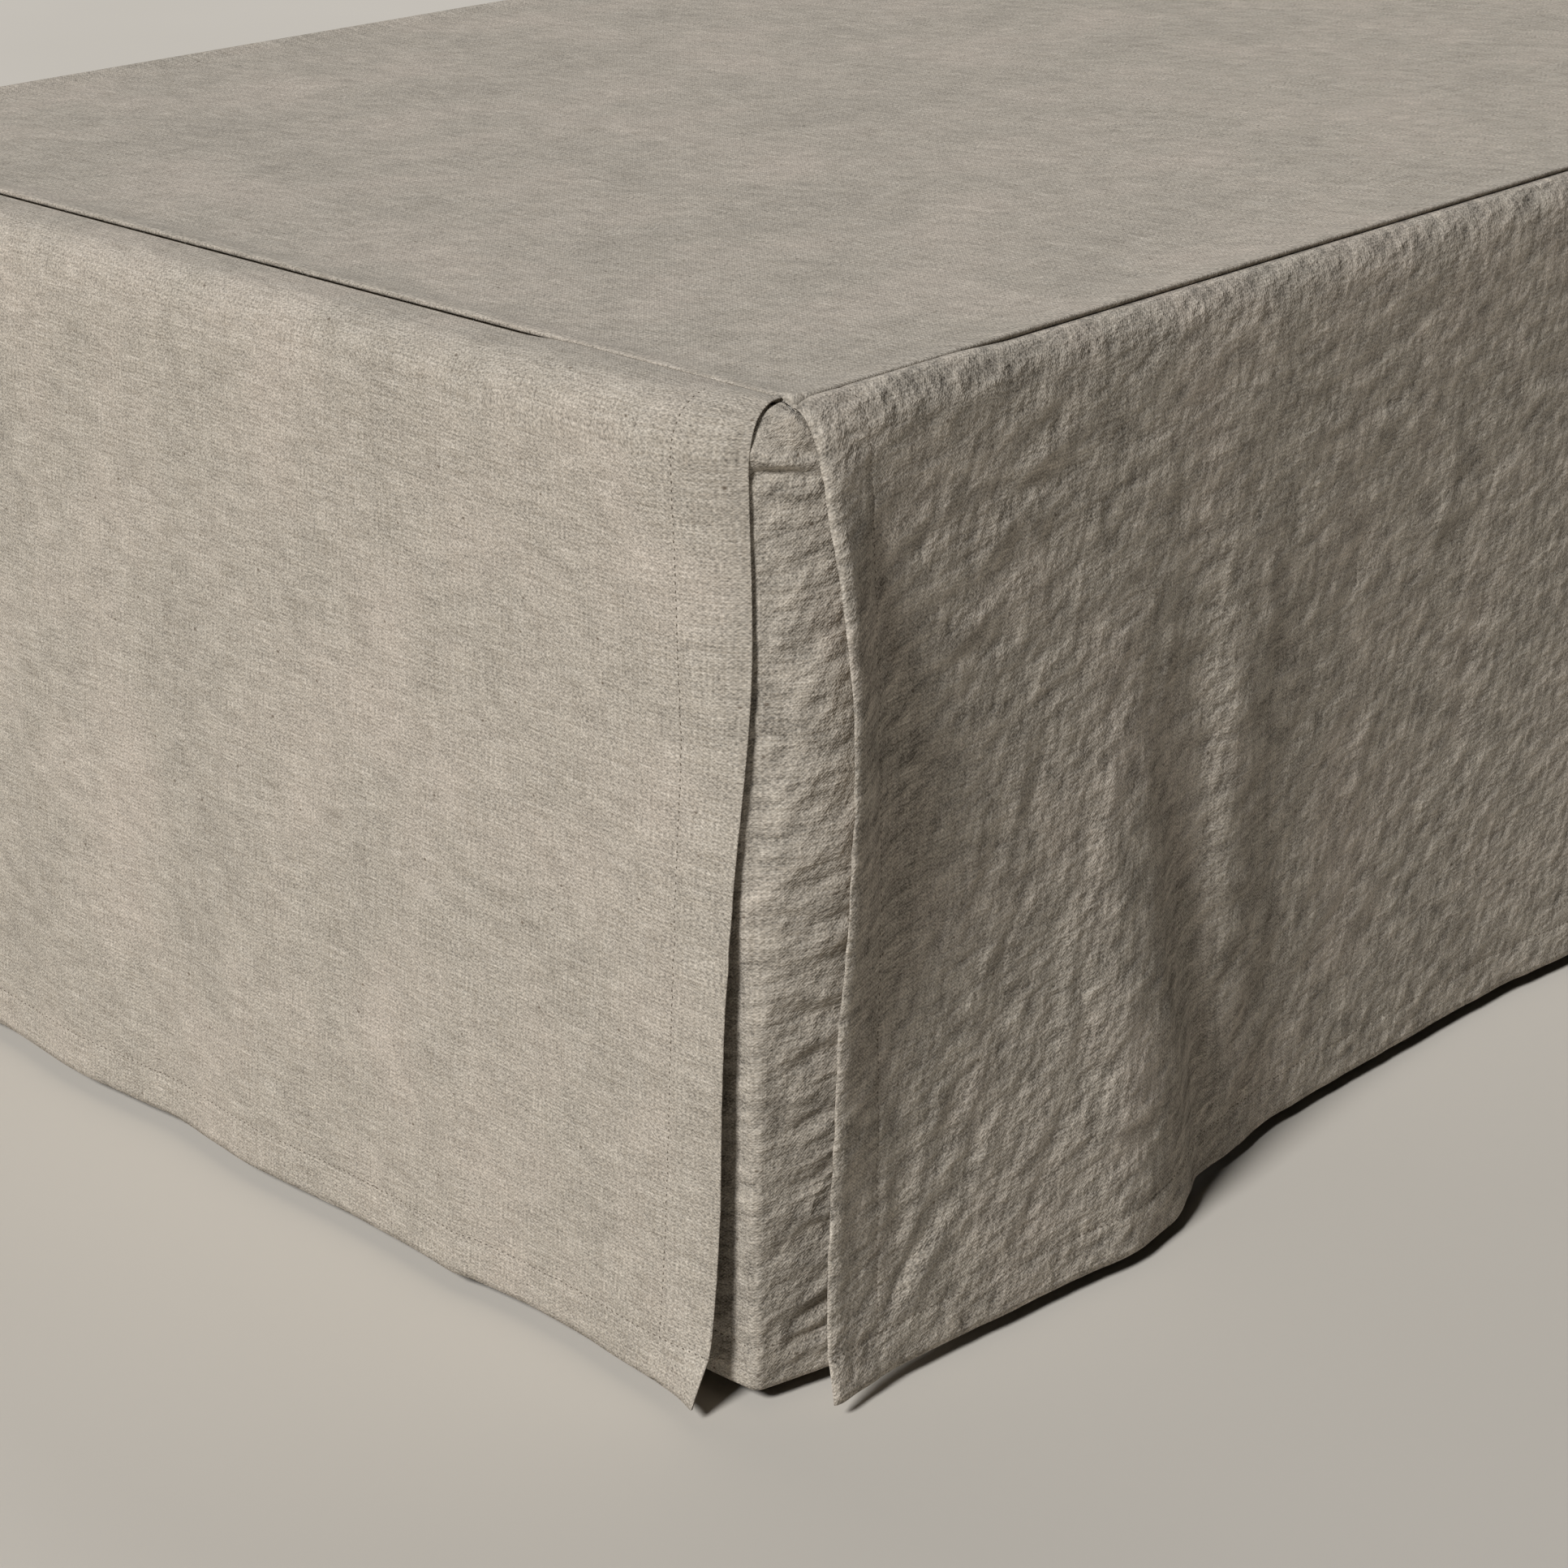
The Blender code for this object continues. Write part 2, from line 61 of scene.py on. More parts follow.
skirt = {
    "sideSeamIn": 15 * mm,  # seams of the side drops, in from the base's sides
    "footSeamIn": 42.5 * mm,  # seam of the foot drop, in from the base's foot
    "headGap": 45 * mm,  # deck's hem, in from the base's head
    "seamGap": 0.5 * mm,
    "lie": 0.9 * mm,  # middle of a cloth that lies on the base
    "cornerSlack": 1.5 * mm,
    "hang": 2.6 * mm,  # middle of a cloth that falls over the base's edge
    "overInsert": 2.4 * mm,  # further out where a corner insert is under it
    "overInsertLip": 2.1 * mm,
    "overHeadLip": 0.8 * mm,
    "insertFade": (150 * mm, 200 * mm),
    "overEdge": 0.2,  # share of the way over the edge where its clearance is reached
    "kneeOut": 0.9,  # how far the way over the edge keeps to the slope below it
    "slopeBelow": 28 * mm,  # below the edge, where the cloth already hangs
    "edgeDetail": 120,  # points on the way over the edge before its rows are spread
    "bendWeight": 20 * mm,  # rows come closer in a bend, as if it were this much longer
    "splitLean": 200 * mm,  # how far along a drop its split edge's lean dies away
    "plain": 0.8 * mm,  # thickness of one layer of linen
    "hemmed": 1.8 * mm,  # and where it is turned in and sewn
    "sideHem": 31 * mm,
    "bottomHem": 24 * mm,
    "sectionHeights": (480, 400, 340, 280, 200, 110, 45, 10),  # mm above the floor; the last is the hem
}

# How far each drop hangs out from the base at the section heights, all in mm.
footSections = (
    # along, out
    (22.5, (-18.3, -13, -2.5, 6.3, 12.5, 14, 19, 34)),
    (34, (-8.5, -3.5, 2.8, 8.5, 13.5, 16, 20.5, 30)),
    (50, (-0.5, 2.8, 6, 10.5, 15, 18, 22, 27)),
    (78, (5.2, 7, 9, 12, 15.5, 19, 22.5, 25)),
    (112, (5.2, 7.2, 9, 11.5, 15, 18.5, 20.5, 22)),
    (152, (5, 7, 8.8, 11.5, 14.5, 18, 20, 21)),
    (188, (4.4, 7, 8.8, 11.5, 15, 19, 21.5, 23)),
    (203, (4.4, 7, 9, 11.8, 16, 20.5, 24, 26)),
    (225, (4.4, 7, 9, 11.5, 15.5, 20, 22.5, 24.5)),
    (285, (4.4, 7, 8.8, 11, 14.5, 18.5, 21, 23)),
    (370, (4.4, 7, 9.5, 12.5, 16.5, 21, 24, 26)),
    (450, (4.4, 6, 8, 10.5, 13, 16, 18.5, 20)),
    (530, (4.4, 6.5, 9, 12, 16, 20, 23, 25)),
    (620, (4.4, 6, 8, 10, 13, 16, 18, 19)),
    (710, (4.6, 6.5, 9, 12, 15.5, 19.5, 22, 24)),
    (822, (5.2, 7.5, 10.5, 14, 18, 22, 25.5, 28)),
    (850, (-0.5, 4.5, 9, 13.5, 18.5, 23, 27, 30)),
    (877.5, (-18.3, -9, 2, 11, 18, 23.5, 28, 33)),
)
rightSections = (
    # along, out
    (42.5, (9.5, 30.5, 35.6, 35, 31, 30.8, 32, 38.5)),
    (60, (7.5, 22, 27, 28.5, 27.5, 28.5, 31, 36.5)),
    (84, (5.6, 10.5, 15.5, 19.5, 23.5, 28.5, 32.5, 36)),
    (115, (5.2, 9.5, 13.5, 18, 24, 30.5, 35, 38)),
    (150, (5, 9.5, 13.5, 18.5, 25, 33, 39, 42.5)),
    (185, (4.6, 9.5, 14, 19, 27, 36.5, 42.5, 46)),
    (216, (4.4, 9.5, 14.5, 20.5, 29.5, 40, 46, 49.5)),
    (246, (4.4, 9.5, 14.5, 21.5, 32.5, 44, 50.5, 54)),
    (276, (4.4, 9, 13.5, 19.5, 29.5, 41.5, 47.5, 50.5)),
    (298, (4.4, 8.5, 11, 14.5, 22, 35, 41.5, 44.5)),
    (316, (4.4, 8, 9.5, 11.5, 15.5, 26, 33.5, 36.5)),
    (336, (4.4, 7.5, 9, 10.5, 13, 18.5, 24.5, 27)),
    (362, (4.4, 8, 11.5, 14.5, 17.5, 20, 22.5, 25)),
    (420, (4.4, 6.5, 7.5, 8.5, 10, 12.5, 15, 17)),
    (520, (4.4, 6.2, 6.5, 7, 8.5, 12, 15.5, 17.5)),
    (640, (4.4, 6.5, 8.5, 10.5, 13, 16, 18, 19)),
    (760, (4.4, 7.5, 10.5, 14, 18.5, 24, 28, 30)),
    (900, (4.4, 6.5, 8.5, 11, 14, 17, 19, 20)),
    (1060, (4.4, 7.5, 10, 13, 17, 22, 25, 27)),
    (1220, (4.4, 6.5, 8.5, 10.5, 13.5, 16.5, 18.5, 19.5)),
    (1400, (4.4, 7.5, 10, 13.5, 18, 23, 26.5, 28.5)),
    (1580, (4.4, 6.5, 8.5, 10.5, 13, 16, 18, 19)),
    (1760, (4.4, 7, 9.5, 12, 15.5, 19.5, 22.5, 24)),
    (1900, (4.4, 7.8, 11, 14.2, 18.2, 22.2, 25.2, 27)),
    (1955, (4.4, 8, 11.5, 15, 19, 23, 26, 28)),
)
leftSections = (
    # along, out
    (42.5, (8, 24, 30, 31, 30, 30.5, 31, 34)),
    (64, (6.5, 15, 20, 23, 26, 29, 31, 33)),
    (95, (5.2, 9, 13, 17, 22, 27, 31, 33)),
    (180, (4.6, 8.5, 12.5, 17.5, 24, 31.5, 36, 38.5)),
    (270, (4.4, 7.5, 10, 13, 17.5, 22, 25, 27)),
    (400, (4.4, 8, 11.5, 15.5, 21, 28, 32, 34.5)),
    (540, (4.4, 6.5, 8.5, 10.5, 13.5, 17, 19.5, 21)),
    (700, (4.4, 7.5, 10.5, 14, 19, 24.5, 28, 30)),
    (880, (4.4, 6.5, 8.5, 10.5, 13, 16, 18, 19)),
    (1080, (4.4, 7, 10, 13, 17, 22, 25, 27)),
    (1300, (4.4, 6.5, 8.5, 10.5, 13.5, 16.5, 18.5, 20)),
    (1530, (4.4, 7.5, 10.5, 13.5, 18, 23, 26, 28)),
    (1750, (4.4, 6.5, 8.5, 10.5, 13, 16, 18, 19)),
    (1900, (4.4, 7.6, 10.4, 13.2, 17, 20.8, 23.6, 25.4)),
    (1955, (4.4, 8, 11, 14, 18, 22, 25, 27)),
)

# Creases pressed into each cloth, in mm: where (along the cloth, above the floor; past 480 the
# height goes on over the edge), which way they run, and a depth that is a ridge when positive.
footCreases = (
    # along, height, turn, length, width, depth
    (37, 272, -8, 36, 7, -1.5), (40, 262, 14, 44, 6, 1.3), (36, 250, 22, 46, 6, -1.2),
    (34, 232, 28, 38, 6, 0.9), (38, 200, 12, 40, 7, -0.7), (36, 176, 26, 46, 8, 0.8),
    (34, 128, 34, 60, 8, -0.8), (40, 100, 40, 58, 7, 0.8), (33, 84, 38, 40, 6, -0.7),
    (42, 330, 84, 90, 10, -0.5), (60, 300, 70, 120, 12, 0.6), (95, 210, 62, 160, 14, -0.6),
    (130, 330, 80, 190, 18, 0.6), (170, 180, 70, 190, 16, -0.7), (214, 120, 78, 150, 14, 0.9),
    (232, 95, 72, 130, 12, -0.9), (262, 250, 84, 220, 20, 0.7), (150, 62, 14, 120, 9, 0.6),
    (190, 72, 8, 120, 10, -0.6), (95, 66, 20, 80, 8, -0.5), (320, 160, 96, 200, 18, -0.8),
    (380, 300, 80, 240, 20, 0.8), (430, 140, 70, 200, 16, -0.8), (560, 210, 100, 240, 20, 0.9),
    (650, 320, 84, 220, 18, -0.7), (740, 150, 72, 220, 18, 0.9),
)
rightCreases = (
    # along, height, turn, length, width, depth
    (167, 446, -9, 44, 5, -1.6), (202, 446, 9, 56, 5, -1.7), (198, 456, 10, 92, 8, 1.5),
    (238, 412, -34, 74, 7, 1.6), (222, 402, -40, 62, 7, -1.4), (206, 410, 88, 46, 6, -1.3),
    (165, 426, 36, 46, 6, 1.4), (172, 412, 36, 50, 7, -1.1), (148, 382, 6, 74, 7, 1.3),
    (150, 368, 10, 72, 8, -1.4), (128, 452, 34, 60, 7, 1.2), (118, 436, 30, 66, 7, -1.2),
    (112, 402, 26, 60, 7, 1.1), (108, 386, 24, 60, 7, -1.1), (132, 342, 16, 62, 8, 1.2),
    (126, 326, 18, 66, 8, -1.1), (262, 340, 62, 46, 9, 1.4), (252, 318, 58, 44, 8, -1.7),
    (266, 306, 20, 34, 7, 1.3), (284, 312, 78, 60, 8, -1.2), (302, 322, 88, 62, 9, 1.6),
    (330, 300, 76, 60, 8, -1), (356, 274, -12, 96, 8, 1.2), (352, 258, -10, 90, 8, -1.2),
    (240, 262, 74, 90, 10, 1.2), (222, 240, 66, 84, 9, -1.3), (190, 300, 70, 96, 9, -1.2),
    (172, 286, 66, 110, 10, 1.4), (152, 262, 62, 90, 9, -1.3), (134, 252, 58, 92, 9, 1.3),
    (118, 226, 60, 84, 8, -1.3), (146, 206, 64, 80, 8, 1.5), (160, 190, 66, 70, 7, -1.5),
    (176, 214, 62, 84, 9, 1.2), (198, 182, 66, 84, 8, -1.4), (210, 196, 70, 60, 7, 1.5),
    (216, 158, 84, 46, 5, -1.9), (204, 150, 70, 56, 7, 1.2), (150, 170, 88, 44, 5, -1.6),
    (140, 150, 64, 66, 7, 1.5), (122, 136, 58, 66, 8, -1.4), (108, 168, 60, 70, 8, 1.1),
    (104, 110, 62, 84, 8, 1.3), (128, 96, 52, 84, 8, -1.5), (146, 110, 48, 80, 8, 1.4),
    (168, 124, 52, 76, 8, -1.1), (172, 92, 42, 84, 8, 1.5), (186, 74, 40, 78, 7, -1.5),
    (158, 60, 36, 60, 7, 1.2), (214, 100, 32, 86, 8, 1.3), (236, 118, 30, 70, 8, -1.2),
    (252, 90, 14, 88, 8, 1.7), (246, 72, 16, 86, 8, -1.6), (222, 54, 20, 70, 7, 1.2),
    (262, 54, 24, 62, 7, -1.1), (94, 62, 66, 84, 9, -3), (84, 92, 74, 90, 9, -1.8),
    (112, 66, 50, 66, 8, 2.4), (300, 212, 84, 90, 8, 1), (306, 150, 92, 130, 7, -2),
    (292, 108, 88, 90, 8, 1.3), (364, 176, -6, 84, 7, 1.7), (362, 160, -4, 84, 8, -1.5),
    (340, 214, 20, 76, 8, 1.2), (382, 220, 32, 80, 8, -1.2), (344, 130, 38, 74, 8, 1.4),
    (362, 118, 40, 76, 8, -1.5), (384, 134, 34, 80, 8, 1.2), (334, 92, 52, 66, 7, -1.4),
    (350, 82, 46, 72, 8, 1.6), (372, 84, 42, 78, 8, -1.7), (352, 42, 42, 62, 7, 1.7),
    (372, 38, 40, 60, 7, -1.8), (396, 70, 36, 78, 8, 1.3), (332, 52, 60, 44, 6, -1.3),
    (344, 384, 84, 86, 10, 1), (372, 396, 88, 96, 10, -1.1), (310, 418, 80, 70, 8, -1),
    (400, 330, 78, 110, 10, 1.1), (428, 250, 70, 120, 11, -1.2), (452, 150, 64, 120, 11, 1.3),
    (478, 330, 82, 130, 12, -1.1), (500, 210, 60, 130, 11, 1.2), (540, 120, 54, 120, 11, -1.4),
    (560, 340, 78, 150, 12, 1.1), (600, 230, 66, 150, 12, -1.3), (640, 140, 50, 130, 12, 1.2),
    (700, 300, 76, 180, 14, -1.2), (760, 180, 60, 160, 13, 1.3), (840, 260, 74, 200, 15, -1.3),
    (930, 160, 58, 190, 14, 1.3), (1040, 280, 80, 210, 16, -1.3), (1150, 170, 62, 200, 15, 1.3),
    (1280, 260, 96, 220, 16, -1.3), (1410, 180, 66, 200, 15, 1.3), (1540, 280, 76, 210, 16, -1.2),
    (1670, 170, 60, 200, 15, 1.3), (1800, 260, 84, 210, 15, -1.3), (1900, 160, 66, 160, 13, 1.2),
)
leftCreases = (
    # along, height, turn, length, width, depth
    (110, 400, 28, 70, 9, 1.3), (120, 300, 60, 110, 11, -1.3), (150, 180, 58, 110, 11, 1.4),
    (110, 80, 60, 90, 10, -1.6), (210, 330, 72, 130, 12, 1.2), (250, 200, 64, 130, 12, -1.4),
    (300, 90, 40, 110, 11, 1.4), (360, 300, 78, 170, 14, -1.2), (440, 180, 62, 160, 14, 1.3),
    (530, 280, 80, 200, 15, -1.2), (630, 160, 56, 180, 14, 1.3), (740, 300, 76, 210, 16, -1.2),
    (860, 180, 66, 200, 15, 1.3), (990, 260, 98, 220, 16, -1.3), (1130, 170, 62, 200, 15, 1.3),
    (1270, 280, 80, 220, 16, -1.3), (1420, 180, 64, 200, 15, 1.2), (1570, 270, 78, 220, 16, -1.3),
    (1720, 170, 60, 200, 15, 1.3), (1860, 250, 82, 190, 14, -1.2),
)
insertCreases = (
    # along from the corner's crease, height, turn, length, width, depth
    (30, 513, -20, 24, 5, -4), (18, 506, -10, 44, 6.5, 4.2), (20, 497, -22, 54, 5, -3.2),
    (15, 489, -18, 50, 6, 3.6), (10, 482, -6, 42, 4.5, -2.6), (20, 474, 0, 46, 6, 2),
    (24, 465, 6, 50, 7, -0.8), (20, 441, 20, 60, 7, -0.9), (24, 426, 14, 56, 8, 0.8),
    (30, 398, 10, 60, 7, -0.9), (31, 376, 4, 62, 7, 1), (28, 356, 12, 58, 7, -0.9),
    (30, 336, 6, 60, 7, 0.9), (30, 320, 0, 64, 6, -1.2), (26, 302, 12, 50, 6, 0.9),
    (34, 288, 16, 50, 6, -0.9), (13, 271, 2, 22, 3.5, -2.2), (40, 267, -5, 56, 5, -1.2),
    (34, 256, 4, 60, 6, 1.4), (36, 240, 14, 50, 6, -1), (26, 228, 6, 50, 6, 1.1),
    (26, 218, -4, 46, 5, -1.4), (34, 204, 12, 50, 6, 1), (30, 190, 22, 54, 6, -1.2),
    (26, 172, 10, 52, 6, 1.2), (28, 157, 2, 56, 6, -1.3), (32, 138, 14, 54, 6, 1.2),
    (26, 122, 6, 50, 6, -1), (26, 106, 2, 50, 6, 1.2), (30, 92, 10, 54, 6, -1.2),
    (32, 76, 4, 50, 6, 1.3), (34, 58, 6, 42, 5, 1.2), (35, 47, 2, 44, 5, -2),
    (34, 34, 4, 40, 5, -1.6), (30, 24, 6, 44, 5, 1.2), (-12, 300, 60, 60, 8, -0.4),
    (-14, 160, 80, 80, 8, 0.4),
)


def smoothThrough(knots, values, where):  # cubic through the values, flat where they turn
    knots, values = np.asarray(knots, float), np.asarray(values, float)
    slopes = np.diff(values) / np.diff(knots)
    tangents = np.zeros_like(values)
    tangents[0], tangents[-1] = slopes[0], slopes[-1]
    sameWay = slopes[:-1] * slopes[1:] > 0
    both = np.where(sameWay, slopes[:-1] + slopes[1:], 1.0)
    tangents[1:-1] = np.where(sameWay, 2 * slopes[:-1] * slopes[1:] / both, 0.0)
    where = np.clip(where, knots[0], knots[-1])
    cell = np.clip(np.searchsorted(knots, where) - 1, 0, len(knots) - 2)
    width = knots[cell + 1] - knots[cell]
    t = (where - knots[cell]) / width
    return (values[cell] * (1 + 2 * t) * (1 - t) ** 2 + values[cell + 1] * t * t * (3 - 2 * t)
            + width * (tangents[cell] * t * (1 - t) ** 2 - tangents[cell + 1] * t * t * (1 - t)))


def atHeight(values, height):  # a row of section values in mm, read at heights in metres
    return smoothThrough(skirt["sectionHeights"][::-1], values[::-1], height / mm) * mm


def eased(t):
    t = np.clip(t, 0.0, 1.0)
    return t * t * (3 - 2 * t)


def baseDistance(points):  # how far points stand out from the base's rounded surface
    half = np.array((bed["width"], bed["length"])) / 2 - bed["cornerRadius"]
    beyond = np.abs(points[:, :2]) - half
    plan = (np.hypot(*np.maximum(beyond, 0).T) + np.minimum(beyond.max(axis=1), 0)
            - bed["cornerRadius"] + bed["edgeRadius"])
    upright = np.abs(points[:, 2] - (bed["top"] + bed["bottom"]) / 2)
    upright -= (bed["top"] - bed["bottom"]) / 2 - bed["edgeRadius"]
    return (np.hypot(np.maximum(plan, 0), np.maximum(upright, 0))
            + np.minimum(np.maximum(plan, upright), 0) - bed["edgeRadius"])


def keptOff(points, clearance):  # points pushed straight out of the base until they clear it
    points = points.copy()
    nudge = 1e-5
    for _ in range(4):
        short = np.maximum(clearance - baseDistance(points), 0.0)
        slope = np.empty_like(points)
        for axis in range(3):
            moved = points.copy()
            moved[:, axis] += nudge
            slope[:, axis] = (baseDistance(moved) - baseDistance(points)) / nudge
        points += slope * short[:, None]
    return points


def lyingHeight(x, y):  # middle of a cloth on the base, looser where the rounded corners drop away
    beyond = np.abs((x, y)) - np.array((bed["width"], bed["length"])) / 2 + bed["cornerRadius"]
    inside = bed["cornerRadius"] - np.hypot(*np.maximum(beyond, 0)) - min(beyond.max(), 0)
    over = np.clip(bed["edgeRadius"] - inside, 0, bed["edgeRadius"])
    top = bed["top"] - bed["edgeRadius"] + math.sqrt(bed["edgeRadius"] ** 2 - over ** 2)
    return top + skirt["lie"] + min(bed["top"] - top, skirt["cornerSlack"])


def evenSteps(points, count):  # spread along a line, closer where it bends
    runs = np.diff(points, axis=0)
    lengths = np.linalg.norm(runs, axis=1)
    bends = np.linalg.norm(np.diff(runs / lengths[:, None], axis=0), axis=1)
    weights = lengths + skirt["bendWeight"] * np.append(bends, bends[-1])
    reached = np.concatenate(([0], np.cumsum(weights)))
    wanted = np.linspace(0, reached[-1], count)
    return np.stack([np.interp(wanted, reached, points[:, axis]) for axis in range(3)], axis=1)


def overEdge(start, fall, heights, clearances, count):  # from the seam over the edge, and down the fall
    end, below = fall[0], fall[np.argmin(np.abs(heights - heights[0] + skirt["slopeBelow"]))]
    slope = (below - end) / abs(below[2] - end[2])
    knee = end - slope * (start[2] - end[2]) * skirt["kneeOut"]
    knee[2] = start[2]
    t = np.linspace(0, 1, skirt["edgeDetail"])[:, None]
    bow = start * (1 - t) ** 2 + 2 * knee * t * (1 - t) + end * t ** 2
    lifted = eased(t[:, 0] / skirt["overEdge"])
    bow = keptOff(bow, clearances[0] + (clearances[1] - clearances[0]) * lifted)
    bow[0] = start
    return np.vstack((evenSteps(bow, count + 1)[:-1], fall))


def dropColumn(drop, position, heights, edgeRows):
    knots = [row[0] for row in drop["sections"]]
    rows = np.array([row[1] for row in drop["sections"]])
    outs = [smoothThrough(knots, values, position / mm) for values in rows.T]
    toSplit = min(position, drop["span"] - position) if drop["bothSplit"] else position
    fadeFrom, fadeTo = skirt["insertFade"]
    stack = 1 - eased((toSplit - fadeFrom) / (fadeTo - fadeFrom))
    atHead = eased((position - drop["span"] + 2 * bed["cornerRadius"]) / bed["cornerRadius"])
    lip = skirt["lie"] + skirt["overInsertLip"] * stack + skirt["overHeadLip"] * atHead
    side = skirt["hang"] + skirt["overInsert"] * stack
    lean = atHeight(drop["lean"], heights)
    shift = lean * math.exp((knots[0] * mm - position) / skirt["splitLean"])
    if drop["bothSplit"]:
        shift = shift - lean * math.exp((position - knots[-1] * mm) / skirt["splitLean"])
    fall = np.empty((len(heights), 3))
    fall[:, :2] = (drop["corner"] + np.outer(position + shift, drop["along"])
                   + np.outer(atHeight(outs, heights), drop["outward"]))
    fall[:, 2] = heights
    fall = keptOff(fall, side)
    seam = drop["corner"] + drop["along"] * position - drop["outward"] * drop["seamIn"]
    seam = np.append(seam, lyingHeight(*seam) + lip - skirt["lie"])
    return overEdge(seam, fall, heights, (lip, side), edgeRows), side


def insertColumn(side, share, heights, edgeRows):
    insert = insertShape
    corner = footCorner * (side, 1)
    toward = np.array((side, -1.0))
    knots = [row[0] for row in insert["swing"]]
    swings = np.array([row[1] for row in insert["swing"]]).T
    fall = np.empty((len(heights), 3))
    for row, height in enumerate(heights):
        radius = atHeight(insert["creaseRadii"], height)
        out = atHeight(insert["creaseOut"], height)
        arc = radius * math.pi / 2
        straight = insert["reach"] - radius
        travel = abs(share) * (straight + arc / 2)
        legOut = out + (skirt["hang"] - out) * abs(share) ** insert["settle"]
        if share > 0:
            legOut += atHeight([smoothThrough(knots, values, travel / mm) for values in swings], height)
        if travel >= arc / 2:
            reach, depth = radius + travel - arc / 2, 0.0
        else:
            angle = math.pi / 4 * (1 - travel / (arc / 2))
            reach = radius - radius * math.sin(angle)
            depth = radius - radius * math.cos(angle)
        local = (out - reach, legOut - depth) if share < 0 else (legOut - depth, out - reach)
        fall[row] = np.append(corner + toward * local, height)
    fall = keptOff(fall, skirt["hang"])
    xEdge = bed["width"] / 2 - skirt["sideSeamIn"]
    yEdge = -bed["length"] / 2 + skirt["footSeamIn"]
    seam = np.array((side * min(side * fall[0][0], xEdge), max(fall[0][1], yEdge), 0.0))
    seam[2] = lyingHeight(seam[0], seam[1])
    return overEdge(seam, fall, heights, (skirt["lie"], skirt["hang"]), edgeRows)


def stepsWith(low, high, step, lines):  # even steps, with each sewn line and both its sides among them
    count = round((high - low) / step)
    places = [low + (high - low) * i / count for i in range(count + 1)]
    beside = stitching["beside"]
    for line in lines:
        if low < line < high:
            places = [place for place in places if abs(place - line) > 2 * beside]
            places += [line - beside, line, line + beside]
    return sorted(places)


def outwardNormals(points):
    alongWay = np.gradient(points, axis=0)
    downWay = np.gradient(points, axis=1)
    normals = np.cross(alongWay, downWay)
    return normals / np.maximum(np.linalg.norm(normals, axis=2, keepdims=True), 1e-12)


creaseShape = {
    "bow": 0.06,  # share of a crease's length that it bows, and how often
    "bows": 5,
    "taper": 1.5,
    "flank": 1.6,
}


def creaseDepth(creases, along, height):  # along and height in mm, for every point of a cloth
    depth = np.zeros_like(height)
    for place, up, turn, length, width, size in creases:
        turn = math.radians(turn)
        run = (along - place) * math.cos(turn) + (height - up) * math.sin(turn)
        across = (height - up) * math.cos(turn) - (along - place) * math.sin(turn)
        across = across + length * creaseShape["bow"] * np.sin(run / length * creaseShape["bows"] + place)
        taper = np.clip(1 - (run / (length / 2)) ** 2, 0, 1) ** creaseShape["taper"]
        flank = creaseShape["flank"]
        depth += size * taper * np.exp(-(np.abs(across) / (width / flank)) ** flank)
    return depth * mm


# Soft uneven wrinkles. Each wave has a run, a width, a turn, a depth in mm and a seed.
def crumple(along, height, waves):
    depth = np.zeros_like(height)
    for run, width, turn, size, seed in waves:
        turn = math.radians(turn)
        u = (along * math.cos(turn) + height * math.sin(turn)) / run
        v = (height * math.cos(turn) - along * math.sin(turn)) / width
        flat = [noise.noise(Vector((a, b, seed))) for a, b in zip(u.ravel(), v.ravel())]
        depth += size * np.array(flat).reshape(height.shape)
    return depth * mm


def nearLine(distance, reach):
    return np.exp(-(distance / reach) ** 2)


def seamPuff(distance, height):  # cloth that rises quickly beside a seam and settles again
    return height * (1 - nearLine(distance, hem["seamRise"])) * nearLine(distance, hem["seamReach"])


def toLinear(code):  # sRGB hex to the linear values that shaders take
    parts = [int(code[i:i + 2], 16) / 255 for i in (0, 2, 4)]
    return (*(c / 12.92 if c <= 0.04045 else ((c + 0.055) / 1.055) ** 2.4 for c in parts), 1.0)


def addNode(tree, kind, inputs=None, **settings):  # an input is a value, a socket, or a node's first output
    node = tree.nodes.new(kind)
    for key, value in settings.items():
        setattr(node, key, value)
    for key, value in (inputs or {}).items():
        if isinstance(value, bpy.types.Node):
            value = value.outputs[0]
        if isinstance(value, bpy.types.NodeSocket):
            tree.links.new(value, node.inputs[key])
        else:
            node.inputs[key].default_value = value
    return node


def maths(tree, operation, *values):
    return addNode(tree, "ShaderNodeMath", dict(enumerate(values)), operation=operation)


def inScene(name, data):
    made = bpy.data.objects.new(name, data)
    bpy.context.scene.collection.objects.link(made)
    return made


def newMaterial(name, settings):
    made = bpy.data.materials.new(name)
    made.use_nodes = True
    shader = made.node_tree.nodes["Principled BSDF"]
    for key, value in settings.items():
        shader.inputs[key].default_value = value
    return made, made.node_tree, shader


def ramp(tree, value, codes, places=(0, 1)):  # from one tone to another
    made = addNode(tree, "ShaderNodeValToRGB", {"Fac": value})
    for element, place, code in zip(made.color_ramp.elements, places, codes):
        element.position = place
        element.color = toLinear(code)
    return made


def onPiece(tree):  # places in the piece's own frame
    return addNode(tree, "ShaderNodeTexCoord").outputs["Object"]


def stretched(tree, where, size, turn=0, place=(0, 0)):  # the same place counted in units of a size
    inputs = {"Vector": where, "Location": (*place, 0), "Rotation": (0, 0, turn), "Scale": size}
    return addNode(tree, "ShaderNodeMapping", inputs, vector_type="TEXTURE")


def rescaled(tree, value, fromLow, fromHigh, toLow=0, toHigh=1):
    return addNode(tree, "ShaderNodeMapRange", {
        "Value": value, "From Min": fromLow, "From Max": fromHigh, "To Min": toLow, "To Max": toHigh})


def noiseAt(tree, where, scale, detail, **settings):
    inputs = {"Vector": where, "Scale": scale, "Detail": detail}
    return addNode(tree, "ShaderNodeTexNoise", inputs, **settings)


